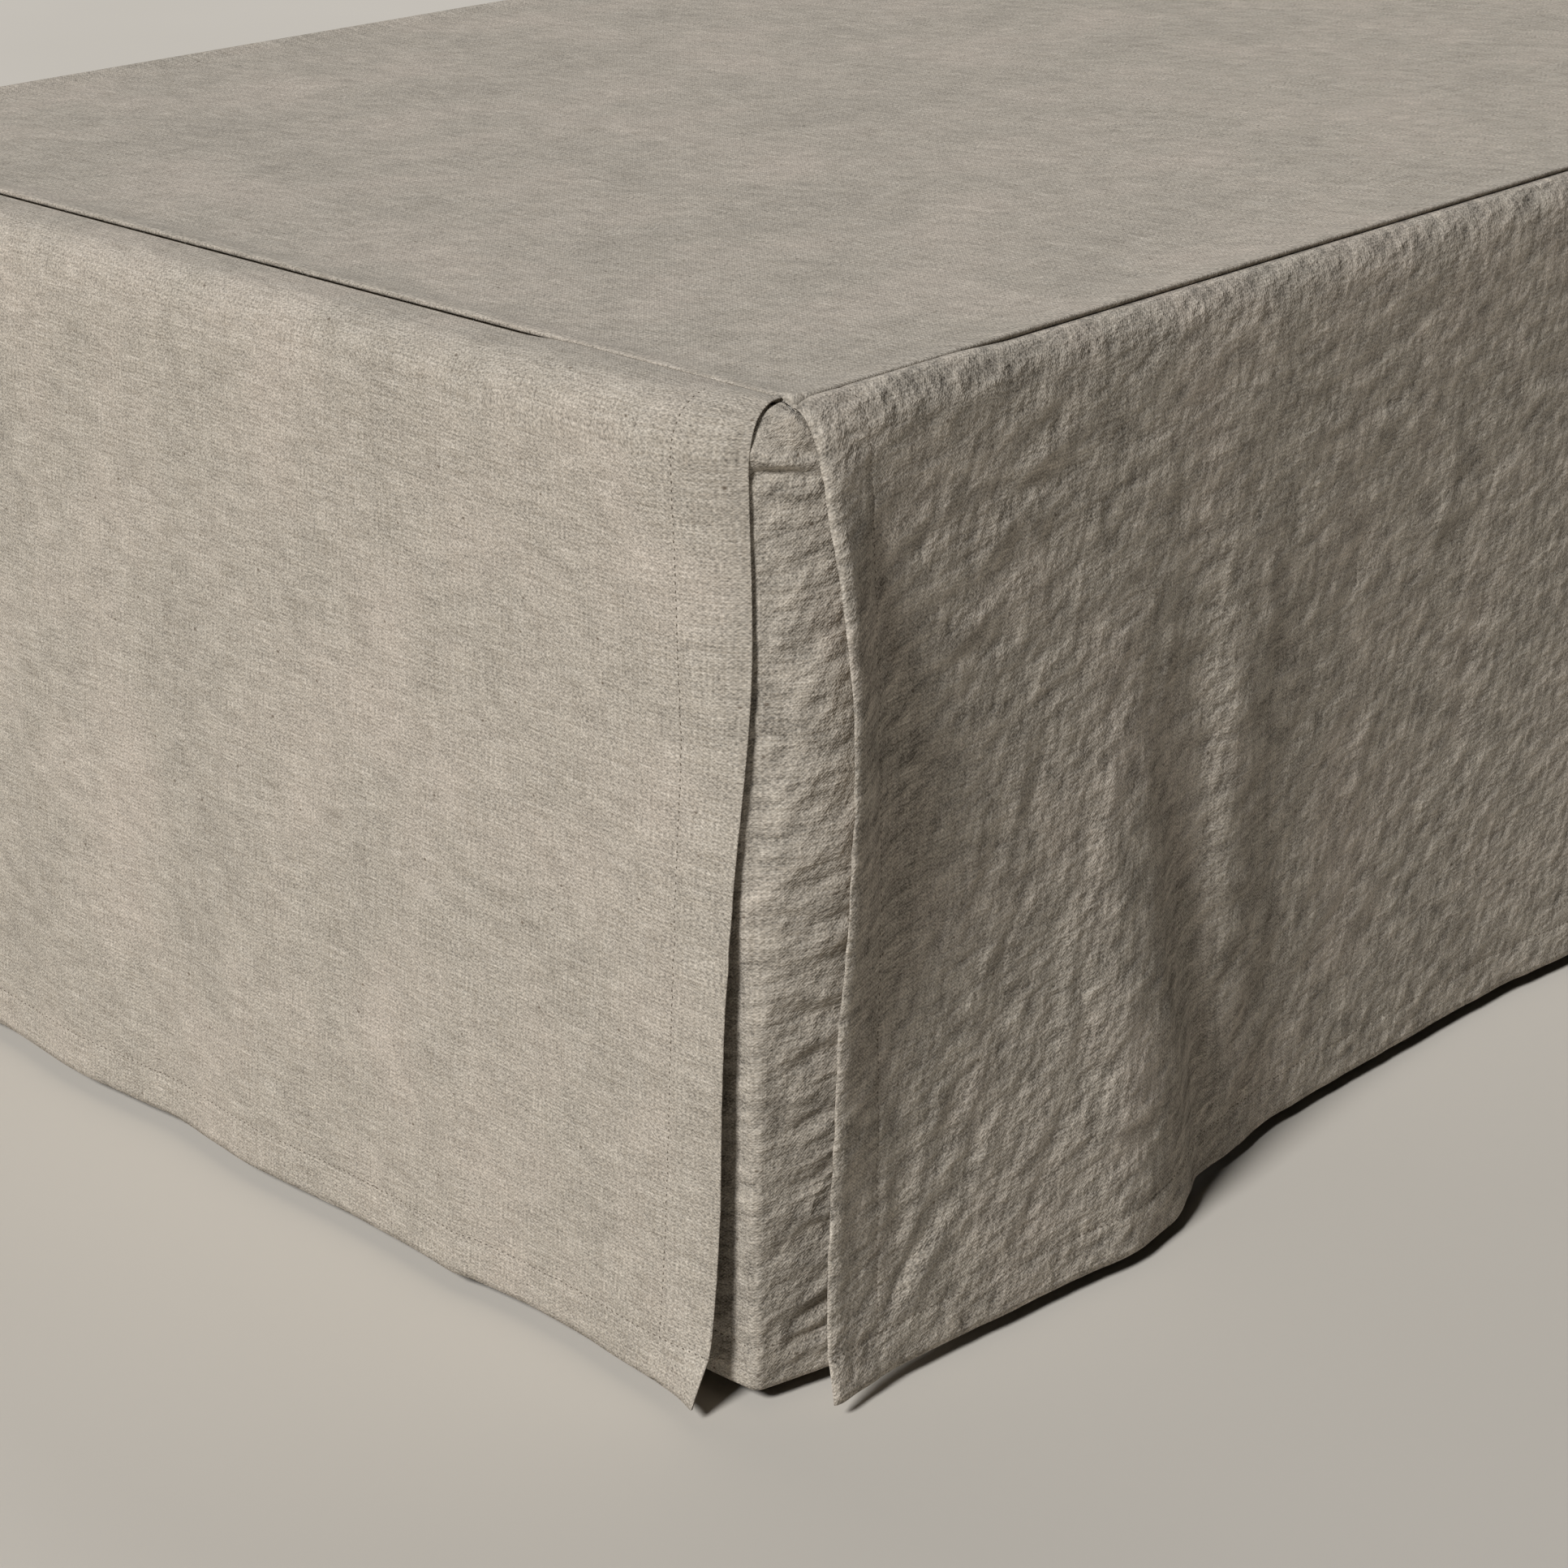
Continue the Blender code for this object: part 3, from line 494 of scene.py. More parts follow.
def surface(tree, shader, colour, height, strength=1.0, distance=1.0):  # its colour and its relief
    tree.links.new(colour.outputs[0], shader.inputs["Base Color"])
    bump = addNode(tree, "ShaderNodeBump", {"Height": height, "Strength": strength, "Distance": distance})
    tree.links.new(bump.outputs["Normal"], shader.inputs["Normal"])


linenFinish = {
    "pitch": 0.9 * mm,
    "wander": 1.0 * mm,
    "yarnRun": 26 * mm,  # length of a thick or thin stretch of yarn
    "yarnWidth": 1.1 * mm,
    "slubEvery": 24 * mm,
    "slubSize": 1.1 * mm,
    "cloud": 80 * mm,
    "light": "bfb7ab",
    "dark": "978e81",
    "rosy": "b3a59a",
    "speck": "5d5042",
    "blush": 0.25,  # most of the rosy tone that a cloud takes
    "bare": 0.6,  # share of the cells that have no speck
    "ground": 0.15,  # brightness before the layers below, each with its share, add theirs
    "cloudTone": 0.3,
    "grainTone": 1.4,
    # the weave's tone follows its relief, lighter where a thread rises: the two yarns' own tones together
    # with painted shade of the weave
    "weaveToneAndShade": 0.12,
    "paintedCrumpleShade": 0.32 / mm,  # how much paler the crumples' ridges and darker their hollows are, for each mm of their depth: painted shade
    "roughness": 0.92,
    "sheen": 0.1,
    "yarnRelief": 0.125 * mm,
    "weaveRelief": 0.06 * mm,
    "shares": {"soft": 1.2, "cross": 0.9, "fine": 0.5},  # of the crumples' depth
}


# Natural linen, garment washed: plain weave of slubby yarn, dry and matt with a faint warm fuzz,
# thick and thin yarn streaks both ways, a few dark flax specks and soft crumples left by washing, with
# painted shade on the crumples and in part on the weave.
def washedLinen(name, crumpleDepth, crumpleTurn, grainDepth):
    look = linenFinish
    made, tree, shader = newMaterial(name, {
        "Roughness": look["roughness"], "Specular IOR Level": 0.25, "Sheen Weight": look["sheen"],
        "Sheen Roughness": 0.5, "Sheen Tint": toLinear("e8dfd2")})
    cut = addNode(tree, "ShaderNodeUVMap", uv_map="cut")

    # noise stretched along the cut: run, width, turn, place, detail, roughness
    run, width = look["yarnRun"], look["yarnWidth"]
    layers = {}
    for part, size, turn, place, detail, rough in (
            ("weft", (run, width), 0, (0, 0), 2.5, 0.6),
            ("warp", (width, run * 1.4), 0, (0.37, 0.11), 2.5, 0.6),
            ("grain", (1.6 * mm, 1.1 * mm), crumpleTurn, (0.7, 0.3), 1.0, 0.5),
            ("cloud", (look["cloud"], look["cloud"] * 1.3), 0, (0.21, 0.63), 2.0, 0.5),
            ("soft", (24 * mm, 9 * mm), crumpleTurn, (0.15, 0.42), 1.5, 0.5),
            ("cross", (19 * mm, 8 * mm), crumpleTurn + 0.9, (0.45, 0.22), 1.5, 0.5),
            ("fine", (8 * mm, 3.6 * mm), crumpleTurn * 0.6, (0.55, 0.12), 1.5, 0.5)):
        placed = stretched(tree, cut, (*size, 1), turn, place)
        layers[part] = addNode(tree, "ShaderNodeTexNoise", {
            "Vector": placed, "Scale": 1.0, "Detail": detail, "Roughness": rough}, noise_dimensions="2D")

    # long, crossing and fine crumples in one height: the relief follows it, and the tone follows it as
    # painted shade
    crumples = 0.0
    for part, share in look["shares"].items():
        crumples = maths(tree, "MULTIPLY_ADD", layers[part], share, crumples)

    # threads over and under each other, each row wandering a little
    wander = noiseAt(tree, cut, 1 / (9 * mm), 1.0, noise_dimensions="2D")
    drift = addNode(tree, "ShaderNodeVectorMath", {
        0: wander.outputs["Color"], 1: (look["wander"],) * 3, 2: cut}, operation="MULTIPLY_ADD")
    ways = addNode(tree, "ShaderNodeSeparateXYZ", {"Vector": drift})
    phases = [maths(tree, "MULTIPLY", ways.outputs[way], math.pi / look["pitch"]) for way in "XY"]
    # the weave's height, which both its relief and its tone follow; the tone is partly painted shade
    weave = maths(tree, "MULTIPLY", *(maths(tree, "SINE", phase) for phase in phases))
    yarn = maths(tree, "MULTIPLY_ADD", layers["warp"], 0.6, layers["weft"])

    # colour: yarn streaks between two tones, a blush in clouds, painted shade on the crumples, fibre grain
    # and the weave's tone with its painted shade, then the specks
    streaks = rescaled(tree, yarn, 0.45, 1.15)
    tone = ramp(tree, streaks, (look["dark"], look["light"]))
    blush = rescaled(tree, layers["cloud"], 0.45, 0.75, 0, look["blush"])
    tinted = addNode(tree, "ShaderNodeMixRGB", {
        "Fac": blush, "Color1": tone, "Color2": toLinear(look["rosy"])})
    paintedCrumpleShade = look["paintedCrumpleShade"] * crumpleDepth  # painted shade: the crumples' ridges are made paler and their hollows darker, as light would fall on them
    strength = look["ground"] - sum(look["shares"].values()) / 2 * paintedCrumpleShade
    for layer, share in ((layers["cloud"], look["cloudTone"]), (crumples, paintedCrumpleShade),
                         (layers["grain"], look["grainTone"]), (weave, look["weaveToneAndShade"])):
        strength = maths(tree, "MULTIPLY_ADD", layer, share, strength)
    shaded = addNode(tree, "ShaderNodeVectorMath", {0: tinted, "Scale": strength}, operation="SCALE")

    # specks: dark flax fibre in some of the cells, each of its own size
    every = look["slubEvery"]
    spread = stretched(tree, cut, (every, every * 0.8, 1), 0.2)
    spots = addNode(tree, "ShaderNodeTexVoronoi", {"Vector": spread, "Scale": 1.0}, voronoi_dimensions="2D")
    pick = addNode(tree, "ShaderNodeSeparateColor", {"Color": spots.outputs["Color"]})
    chosen = maths(tree, "GREATER_THAN", pick.outputs["Red"], look["bare"])
    size = maths(tree, "MULTIPLY", pick.outputs["Green"], look["slubSize"] / every)
    reach = maths(tree, "DIVIDE", spots.outputs["Distance"], size)
    near = rescaled(tree, reach, 0.6, 1.3, 0.75, 0)
    specked = addNode(tree, "ShaderNodeMixRGB", {
        "Fac": maths(tree, "MULTIPLY", near, chosen), "Color1": shaded, "Color2": toLinear(look["speck"])})

    # relief in metres: crumples, yarns, fibre and weave
    relief = 0.0
    for layer, depth in ((crumples, crumpleDepth), (yarn, look["yarnRelief"]),
                         (layers["grain"], grainDepth), (weave, look["weaveRelief"])):
        relief = maths(tree, "MULTIPLY_ADD", layer, depth, relief)
    surface(tree, shader, specked, relief)
    return made


# the thread's two tones, both darker than the linen: painted shade of stitches sunk into the cloth
threadShadedFinish = {
    "dark": "4f463b",
    "light": "776c5e",
    "twist": 0.8 * mm,
}


# Spun linen thread, drawn tight into the cloth. Its tones are darker than the linen's, painted shade of the
# sunk stitches, so it reads as a row of small darker pricks.
def linenThreadShaded(name):
    made, tree, shader = newMaterial(name, {"Roughness": 0.75, "Sheen Weight": 0.08})
    place = onPiece(tree)
    twist = noiseAt(tree, place, 1 / threadShadedFinish["twist"], 1.0)
    ply = ramp(tree, twist, (threadShadedFinish["dark"], threadShadedFinish["light"]))
    tree.links.new(ply.outputs[0], shader.inputs["Base Color"])
    return made


baseFinish = {
    "ribs": 9 * mm,
    "dark": "c2bdb2",
    "light": "d6d1c7",
    "contrast": 0.08,
}


# Cotton ticking round the bed base: tight off-white twill, matt, with fine diagonal ribs.
def cottonTicking(name):
    made, tree, shader = newMaterial(name, {"Roughness": 0.88, "Sheen Weight": 0.08})
    place = onPiece(tree)
    # ribs coarser than real ticking so that they show; a wave of scale 1 repeats every pi / 5
    ribs = addNode(tree, "ShaderNodeTexWave", {
        "Vector": place, "Scale": math.pi / 5 / (baseFinish["ribs"] * math.sqrt(2)), "Distortion": 0.6,
        "Detail": 1.0}, bands_direction="DIAGONAL")
    mottle = noiseAt(tree, place, 1 / (30 * mm), 3.0)
    fuzz = noiseAt(tree, place, 1 / (1.5 * mm), 2.0)
    tone = ramp(tree, mottle, (baseFinish["dark"], baseFinish["light"]))
    ribbed = addNode(tree, "ShaderNodeMixRGB", {
        "Fac": baseFinish["contrast"], "Color1": tone, "Color2": ribs}, blend_type="MULTIPLY")
    surface(tree, shader, ribbed, maths(tree, "ADD", ribs.outputs["Fac"], fuzz), 0.6, 0.25 * mm)
    return made


birchFinish = {
    "dark": "a98458",
    "light": "d3b185",
    "grain": (6 * mm, 6 * mm, 90 * mm),  # how wide and how long it runs
    "gloss": (0.38, 0.52),  # roughness of the dark and of the light grain
}


# Birch, turned and oiled: pale tight grain that runs up the leg, with a soft satin gloss.
def oiledBirch(name):
    made, tree, shader = newMaterial(name, {"Specular IOR Level": 0.4})
    place = onPiece(tree)
    upright = stretched(tree, place, birchFinish["grain"])
    grain = addNode(tree, "ShaderNodeTexNoise", {
        "Vector": upright, "Scale": 1.0, "Detail": 5.0, "Roughness": 0.6, "Distortion": 0.6})
    wood = ramp(tree, grain, (birchFinish["dark"], birchFinish["light"]), (0.3, 0.7))
    gloss = rescaled(tree, grain, 0, 1, *birchFinish["gloss"])
    tree.links.new(gloss.outputs[0], shader.inputs["Roughness"])
    surface(tree, shader, wood, grain, 0.4, 0.2 * mm)
    return made


thread = linenThreadShaded("linenThreadShaded")
print("finishes ready")

stitching = {
    "spacing": 4.0 * mm,
    "stitch": 1.8 * mm,
    "thread": 0.9 * mm,
    "beside": 1.3 * mm,  # the cloth has a row of points this far on each side of a sewn line
    "from": 6,  # row of the drop where its side hems' stitches start
    "seed": 7,
}


def stitchNodes():  # one short stitch on every step of a sewn line, turned along it
    tree = bpy.data.node_groups.new("runOfStitches", "GeometryNodeTree")
    for name, kind in (("Geometry", "Geometry"), ("Spacing", "Float"), ("Stitch length", "Float"),
                       ("Thread width", "Float"), ("Seed", "Int"), ("Thread", "Material")):
        tree.interface.new_socket(name, in_out="INPUT", socket_type="NodeSocket" + kind)
    tree.interface.new_socket("Geometry", in_out="OUTPUT", socket_type="NodeSocketGeometry")
    given = addNode(tree, "NodeGroupInput").outputs
    line = addNode(tree, "GeometryNodeMeshToCurve", {"Mesh": given["Geometry"]})
    steps = addNode(tree, "GeometryNodeResampleCurve", {"Curve": line, "Length": given["Spacing"]},
                    mode="LENGTH")
    grain = addNode(tree, "GeometryNodeMeshIcoSphere", {"Radius": 0.5, "Subdivisions": 1})
    heading = addNode(tree, "FunctionNodeAlignRotationToVector", {
        "Vector": addNode(tree, "GeometryNodeInputTangent")}, axis="X")
    uneven = addNode(tree, "FunctionNodeRandomValue", {2: 0.75, 3: 1.15, "Seed": given["Seed"]},
                     data_type="FLOAT")
    length = maths(tree, "MULTIPLY", given["Stitch length"], uneven.outputs[1])
    size = addNode(tree, "ShaderNodeCombineXYZ", {
        "X": length, "Y": given["Thread width"], "Z": given["Thread width"]})
    placed = addNode(tree, "GeometryNodeInstanceOnPoints", {
        "Points": steps, "Instance": grain, "Rotation": heading, "Scale": size})
    real = addNode(tree, "GeometryNodeRealizeInstances", {"Geometry": placed})
    sewn = addNode(tree, "GeometryNodeSetMaterial", {"Geometry": real, "Material": given["Thread"]})
    addNode(tree, "NodeGroupOutput", {"Geometry": sewn})
    return tree


stitchTree = stitchNodes()


def sewnStitches(name, lines):  # lines are runs of points on the cloth's outer face
    mesh = bpy.data.meshes.new(name + "Path")
    points = np.concatenate(lines) + bedCentre
    starts = np.cumsum([0] + [len(line) for line in lines])
    edges = [(i, i + 1) for first, last in zip(starts, starts[1:]) for i in range(first, last - 1)]
    mesh.from_pydata(points.tolist(), edges, [])
    path = inScene(name + "Path", mesh)
    sewing = path.modifiers.new("stitches", "NODES")
    sewing.node_group = stitchTree
    given = {"Spacing": stitching["spacing"], "Stitch length": stitching["stitch"],
             "Thread width": stitching["thread"], "Seed": stitching["seed"], "Thread": thread}
    for item in stitchTree.interface.items_tree:
        if item.in_out == "INPUT" and item.name in given:
            sewing[item.identifier] = given[item.name]
    ready = path.evaluated_get(bpy.context.evaluated_depsgraph_get())
    sewn = inScene(name, bpy.data.meshes.new_from_object(ready))
    path.modifiers.remove(sewing)
    bpy.data.objects.remove(path, do_unlink=True)
    sewn.data.shade_smooth()
    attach(sewn, "root")
    return sewn


# A cloth from the grid of its outer face, thicker where it is hemmed.
def clothPiece(name, node, points, cut, hemmed, facing, finish):
    columns, rows = points.shape[:2]
    index = np.arange(columns * rows).reshape(columns, rows)
    quads = np.stack((index[:-1, :-1], index[1:, :-1], index[1:, 1:], index[:-1, 1:]), axis=-1).reshape(-1, 4)
    mesh = bpy.data.meshes.new(name)
    mesh.from_pydata((points.reshape(-1, 3) + bedCentre).tolist(), [], quads[:, ::facing].tolist())
    layer = mesh.uv_layers.new(name="cut")
    corners = np.empty(len(mesh.loops), np.int32)
    mesh.loops.foreach_get("vertex_index", corners)
    layer.data.foreach_set("uv", cut.reshape(-1, 2)[corners].ravel())
    mesh.shade_smooth()
    mesh.materials.append(finish)
    piece = inScene(name, mesh)
    layers = piece.modifiers.new("layers", "SOLIDIFY")
    layers.thickness = skirt["hemmed"]
    layers.offset = -1
    layers.vertex_group = piece.vertex_groups.new(name="hemmed").name
    layers.thickness_vertex_group = skirt["plain"] / skirt["hemmed"]
    piece.vertex_groups["hemmed"].add(index[hemmed].tolist(), 1.0, "REPLACE")
    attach(piece, "root")
    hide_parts(node)
    return piece


def gridOf(across, down):
    return np.stack(np.meshgrid(across, down, indexing="ij"), axis=-1)


edgeCurl = {
    "turn": 105,  # degrees in all, and in one step
    "step": 7.5,
    "tightFrom": 60,  # degrees into the curl where it has its tight radius
    "riseFrom": 340 * mm,  # above the floor: here the curl starts to be deeper
    "riseOver": 90 * mm,
    "clearance": 4.6 * mm,  # kept to the base
    "leastRoom": 0.05,  # share of the curl's depth that is always there
    "flatBeside": 1.5 * mm,  # left clear between the curl and the cloth's next column
}


def rolledEdge(points, along, normals, tight, wide, rise):  # curls the first column in, tighter as it goes
    turns = np.radians(np.arange(0, edgeCurl["turn"] + 1, edgeCurl["step"]))
    opened = np.clip(1 - turns / math.radians(edgeCurl["tightFrom"]), 0, 1)
    radii = tight + (wide - tight) * opened ** 2
    steps = (radii[1:] + radii[:-1]) / 2 * np.diff(turns)
    middles = (turns[1:] + turns[:-1]) / 2
    across = np.concatenate(([0], np.cumsum(steps * np.cos(middles))))
    sunk = np.concatenate(([0], np.cumsum(steps * np.sin(middles))))
    reach = across.max()
    deeper = 1 + (rise - 1) * eased((points[0][:, 2] - edgeCurl["riseFrom"]) / edgeCurl["riseOver"])
    room = (baseDistance(points[0]) - edgeCurl["clearance"]) / sunk[-1]
    room = np.clip(room, edgeCurl["leastRoom"], deeper)[:, None]
    inward = points[2] - points[0]
    inward /= np.linalg.norm(inward, axis=1, keepdims=True)
    fromEdge = np.abs(along - along[0])
    curl = []
    for away, deep in zip(across[::-1], sunk[::-1]):
        column = np.argmin(np.abs(fromEdge - (reach - away)))
        flat = points[0] + inward * (reach - away)
        bent = points[column] - points[0] - inward * fromEdge[column]
        flat = flat + bent * min(1, (reach - away) / reach)
        curl.append(flat - normals[0] * deep * room)
    kept = fromEdge > reach + edgeCurl["flatBeside"]
    way = np.sign(along[-1] - along[0])
    run = np.concatenate(([0], np.cumsum(steps)))[::-1]
    return (np.concatenate((curl, points[kept])),
            np.concatenate((along[0] + way * (reach - run), along[kept])))


footCorner = np.array((bed["width"], -bed["length"])) / 2  # on the right side; the left one mirrors it
longSide = {
    "along": np.array((0.0, 1.0)),
    "span": bed["length"],
    "bothSplit": False,
    "seamIn": skirt["sideSeamIn"],
    "lean": (-1.2, -5, -7.9, -10.7, -14.5, -18.8, -21.8, -23.5),
    "flat": (1.91, 0.51),
}
drops = {
    "foot": {
        "corner": footCorner,
        "along": np.array((-1.0, 0.0)),
        "outward": np.array((0.0, -1.0)),
        "facing": 1,  # which way its faces wind
        "span": bed["width"],
        "bothSplit": True,
        "seamIn": skirt["footSeamIn"],
        "sections": footSections,
        # how far the split edges lean at the section heights, in mm
        "lean": (-2.5, -9.5, -14, -14.3, -13.5, -11.5, -10.5, -10),
        "creases": footCreases,
        "waves": ((90, 30, 78, 0.7, 3), (46, 17, 66, 0.3, 11)),
        "steps": ((22.5, 877.5, 4.2),),  # columns: from, to and apart, in mm
        "rowStep": 3.8 * mm,
        "roll": (0.5 * mm, 1.2 * mm, 1.0),  # tight and wide radius of a split edge, and its rise
        "crumples": (0.7 * mm, 0.06, 0.25 * mm),  # depth, turn and depth of the fibre grain
        "flat": (0.855, 0.53),  # size of the cut cloth, in metres
    },
    "right": {
        **longSide,
        "corner": footCorner,
        "outward": np.array((1.0, 0.0)),
        "facing": -1,
        "sections": rightSections,
        "creases": rightCreases,
        "waves": ((60, 18, 6, 0.9, 5), (30, 10, 14, 0.7, 8)),
        "lowWaves": ((64, 20, 42, 1.0, 17), (28, 10, 30, 0.7, 19)),
        "steps": ((42.5, 640, 3.6), (640, 1955, 14)),
        "rowStep": 3.8 * mm,
        "roll": (1.1 * mm, 20 * mm, 1.5),
        "crumples": (2.2 * mm, 0.3, 0.55 * mm),
    },
    "left": {
        **longSide,
        "corner": footCorner * (-1, 1),
        "outward": np.array((-1.0, 0.0)),
        "facing": 1,
        "sections": leftSections,
        "creases": leftCreases,
        "waves": ((80, 26, 8, 1.0, 23), (40, 16, 16, 0.6, 31)),
        "lowWaves": ((80, 26, 44, 1.1, 29), (40, 16, 34, 0.6, 37)),
        "steps": ((42.5, 1955, 11),),
        "rowStep": 8 * mm,
        "roll": (0.9 * mm, 14 * mm, 1.5),
        "crumples": (2.2 * mm, -0.3, 0.55 * mm),
    },
}

insertShape = {
    "reach": 140 * mm,  # of each leg, from the crease
    "creaseRadii": (80, 59, 32, 14, 5, 3.5, 3.5, 3.5),
    "creaseOut": (2.6, 1.0, -0.6, -0.6, -0.6, -0.6, -0.6, -0.6),
    "swing": (  # how far the leg on the long side swings out, in mm, from the crease along
        (0, (0, 0, 0, 0, 0, 0, 0, 0)),
        (12, (0, 1.5, 4.5, 6, 4.5, 3.2, 2.5, 2.4)),
        (25, (0, 3, 9, 12, 9, 6.6, 5.1, 4.9)),
        (40, (0, 4.5, 13, 17.5, 13.5, 10.5, 8.2, 8)),
        (55, (0, 5.5, 14, 18.5, 16.5, 13.5, 10.8, 10.6)),
        (75, (0, 5, 10, 14.5, 17, 15.5, 13.2, 13)),
        (100, (0, 3.8, 7.6, 11.6, 16, 15, 14, 14)),
        (140, (0, 3.4, 7.2, 11.2, 15.2, 14, 13.5, 13.5)),
    ),
    "waves": ((40, 14, 12, 0.7, 41), (22, 8, 20, 0.5, 47)),
    "crumples": (1.8 * mm, 0.2, 0.4 * mm),
    "run": 139 * mm,  # of each leg, along the cloth
    "settle": 0.7,  # power by which a leg goes from the crease's distance to its own
    "clearance": 2 * mm,
    "creases": 1.25,  # share of the crease depths that is drawn
    "calm": 5 * mm,  # relief grows over this run below the seam
    "coveredFrom": 30 * mm,  # from the crease: here a drop starts to cover it, and no ridge is
    "coveredOver": 20 * mm,  # higher than it may be pressed
    "pressed": 0.5 * mm,
    "columns": 38,
    "bunch": 1.5,  # power that draws the columns towards the crease
    "edgeRows": 36,
    "rowStep": 2.5 * mm,
    "flat": (0.29, 0.52),
}

hem = {
    "groove": 0.5 * mm,  # pressed in along the sewn line
    "grooveReach": 1.5 * mm,
    "pucker": 0.45 * mm,
    "puckerRun": 15,  # mm between puckers
    "puckerDrift": (2.2, 1.7),  # how far their places drift, and how often
    "puckerSizes": (0.6, 0.4, 0.83),  # share of the pucker's depth, its swing, and how often
    "puckerReach": 8 * mm,
    "dropPuff": 0.7 * mm,  # cloth that stands up beside a seam, on its two sides
    "deckPuff": 3.4 * mm,
    "deckLip": 3.6 * mm,  # the deck's side also leans out over the seam, most at this far in
    "lipAt": 3 * mm,
    "lipFrom": 4 * mm,  # from a corner, where the lip starts, and the run over which it grows
    "lipOver": 14 * mm,
    "seamRise": 1.8 * mm,
    "seamOpen": 0.35 * mm,  # and draws back from it
    "seamReach": 14 * mm,
}

hanging = {
    "creases": 0.85,  # share of the drops' crease depths that is drawn
    "lowFrom": 320 * mm,  # above the floor: here the low waves start to take over
    "lowOver": 160 * mm,
    "calm": 40 * mm,  # relief grows over this run below the seam
    "edgeRun": 91.2 * mm,  # the way over the edge gets as many rows as the fall has in this run
    "ease": 0.1 * mm,  # how much closer to the base the relief may take the cloth
}
hangTop = skirt["sectionHeights"][0] * mm
hangLow = skirt["sectionHeights"][-1] * mm
sewnHeight = hangLow + skirt["bottomHem"]


def fallHeights(step):
    return np.array(stepsWith(hangLow, hangTop, step, (sewnHeight,)))[::-1]


def sewnRow(heights, edgeRows):
    return int(np.argmin(np.abs(heights - sewnHeight))) + edgeRows


# Every point's way down from the seam, and its height, which goes on over the edge.
def runDown(points, edgeRows):
    lengths = np.linalg.norm(np.diff(points, axis=1), axis=2)
    down = np.concatenate((np.zeros((len(points), 1)), np.cumsum(lengths, axis=1)), axis=1)
    above = down[:, edgeRows:edgeRows + 1] - down
    return down, np.where(above > 0, hangTop + above, points[:, :, 2])


def hemRelief(along, height, sewnAlong):  # groove and puckers of the side and bottom hems
    depth = np.zeros_like(height)
    lines = [(height - sewnHeight, along)] + [(along - line, height) for line in sewnAlong]
    drift, often = hem["puckerDrift"]
    share, swing, sizeOften = hem["puckerSizes"]
    for away, travel in lines:
        run = travel / mm / hem["puckerRun"]
        ripple = np.sin(2 * math.pi * run + drift * np.sin(run * often))
        ripple *= share + swing * np.sin(run * sizeOften + 1)
        depth += hem["pucker"] * ripple * nearLine(away, hem["puckerReach"])
        depth -= hem["groove"] * nearLine(away, hem["grooveReach"])
    return depth


def makeDrop(side):
    drop = drops[side]
    name, node = side + "Drop", "drop_" + side
    first, last = drop["sections"][0][0] * mm, drop["sections"][-1][0] * mm
    sewnAlong = [first + skirt["sideHem"], last - skirt["sideHem"]]
    places = set()
    for low, high, step in drop["steps"]:
        places.update(stepsWith(low * mm, high * mm, step * mm, sewnAlong))
    places = np.array(sorted(places))
    heights = fallHeights(drop["rowStep"])
    edgeRows = round(hanging["edgeRun"] / drop["rowStep"])
    columns, clearances = zip(*(dropColumn(drop, place, heights, edgeRows) for place in places))
    points = np.array(columns)
    normals = outwardNormals(points) * drop["facing"]
    down, height = runDown(points, edgeRows)
    along = np.repeat(places[:, None], points.shape[1], axis=1)

    onCloth = along / mm, height / mm
    relief = hanging["creases"] * creaseDepth(drop["creases"], *onCloth)
    low = eased((hanging["lowFrom"] - height) / hanging["lowOver"])
    relief += crumple(*onCloth, drop["waves"]) * (1 - low)
    relief += crumple(*onCloth, drop.get("lowWaves", drop["waves"])) * low
    relief *= eased(down / hanging["calm"])
    relief += hemRelief(along, height, sewnAlong)
    relief += seamPuff(down, hem["dropPuff"])
    points = points + normals * relief[:, :, None]
    for column, clearance in enumerate(clearances):
        points[column, edgeRows:] = keptOff(points[column, edgeRows:], clearance - hanging["ease"])
    normals = outwardNormals(points) * drop["facing"]
    points = points + normals * skirt["plain"] / 2

    rows = sewnRow(heights, edgeRows)
    lines = [points[:, rows]]
    lines += [points[np.argmin(np.abs(places - line))][stitching["from"]:rows + 1] for line in sewnAlong]
    meanDown = down.mean(axis=0)
    points, places = rolledEdge(points, places, normals, *drop["roll"])
    if drop["bothSplit"]:
        points, places = rolledEdge(points[::-1], places[::-1], normals[::-1], *drop["roll"])
        points, places = points[::-1], places[::-1]
    cut = gridOf(places, -meanDown)
    hemmed = (np.abs(places - (first + last) / 2) > (last - first) / 2 - skirt["sideHem"])[:, None]
    hemmed = hemmed | (np.arange(points.shape[1]) >= rows)
    finish = washedLinen(name + "Linen", *drop["crumples"])
    piece = clothPiece(name, node, points, cut, hemmed, drop["facing"], finish)
    stitches = sewnStitches(name + "Stitches", lines)
    print(name, "made")


for side in drops:
    makeDrop(side)


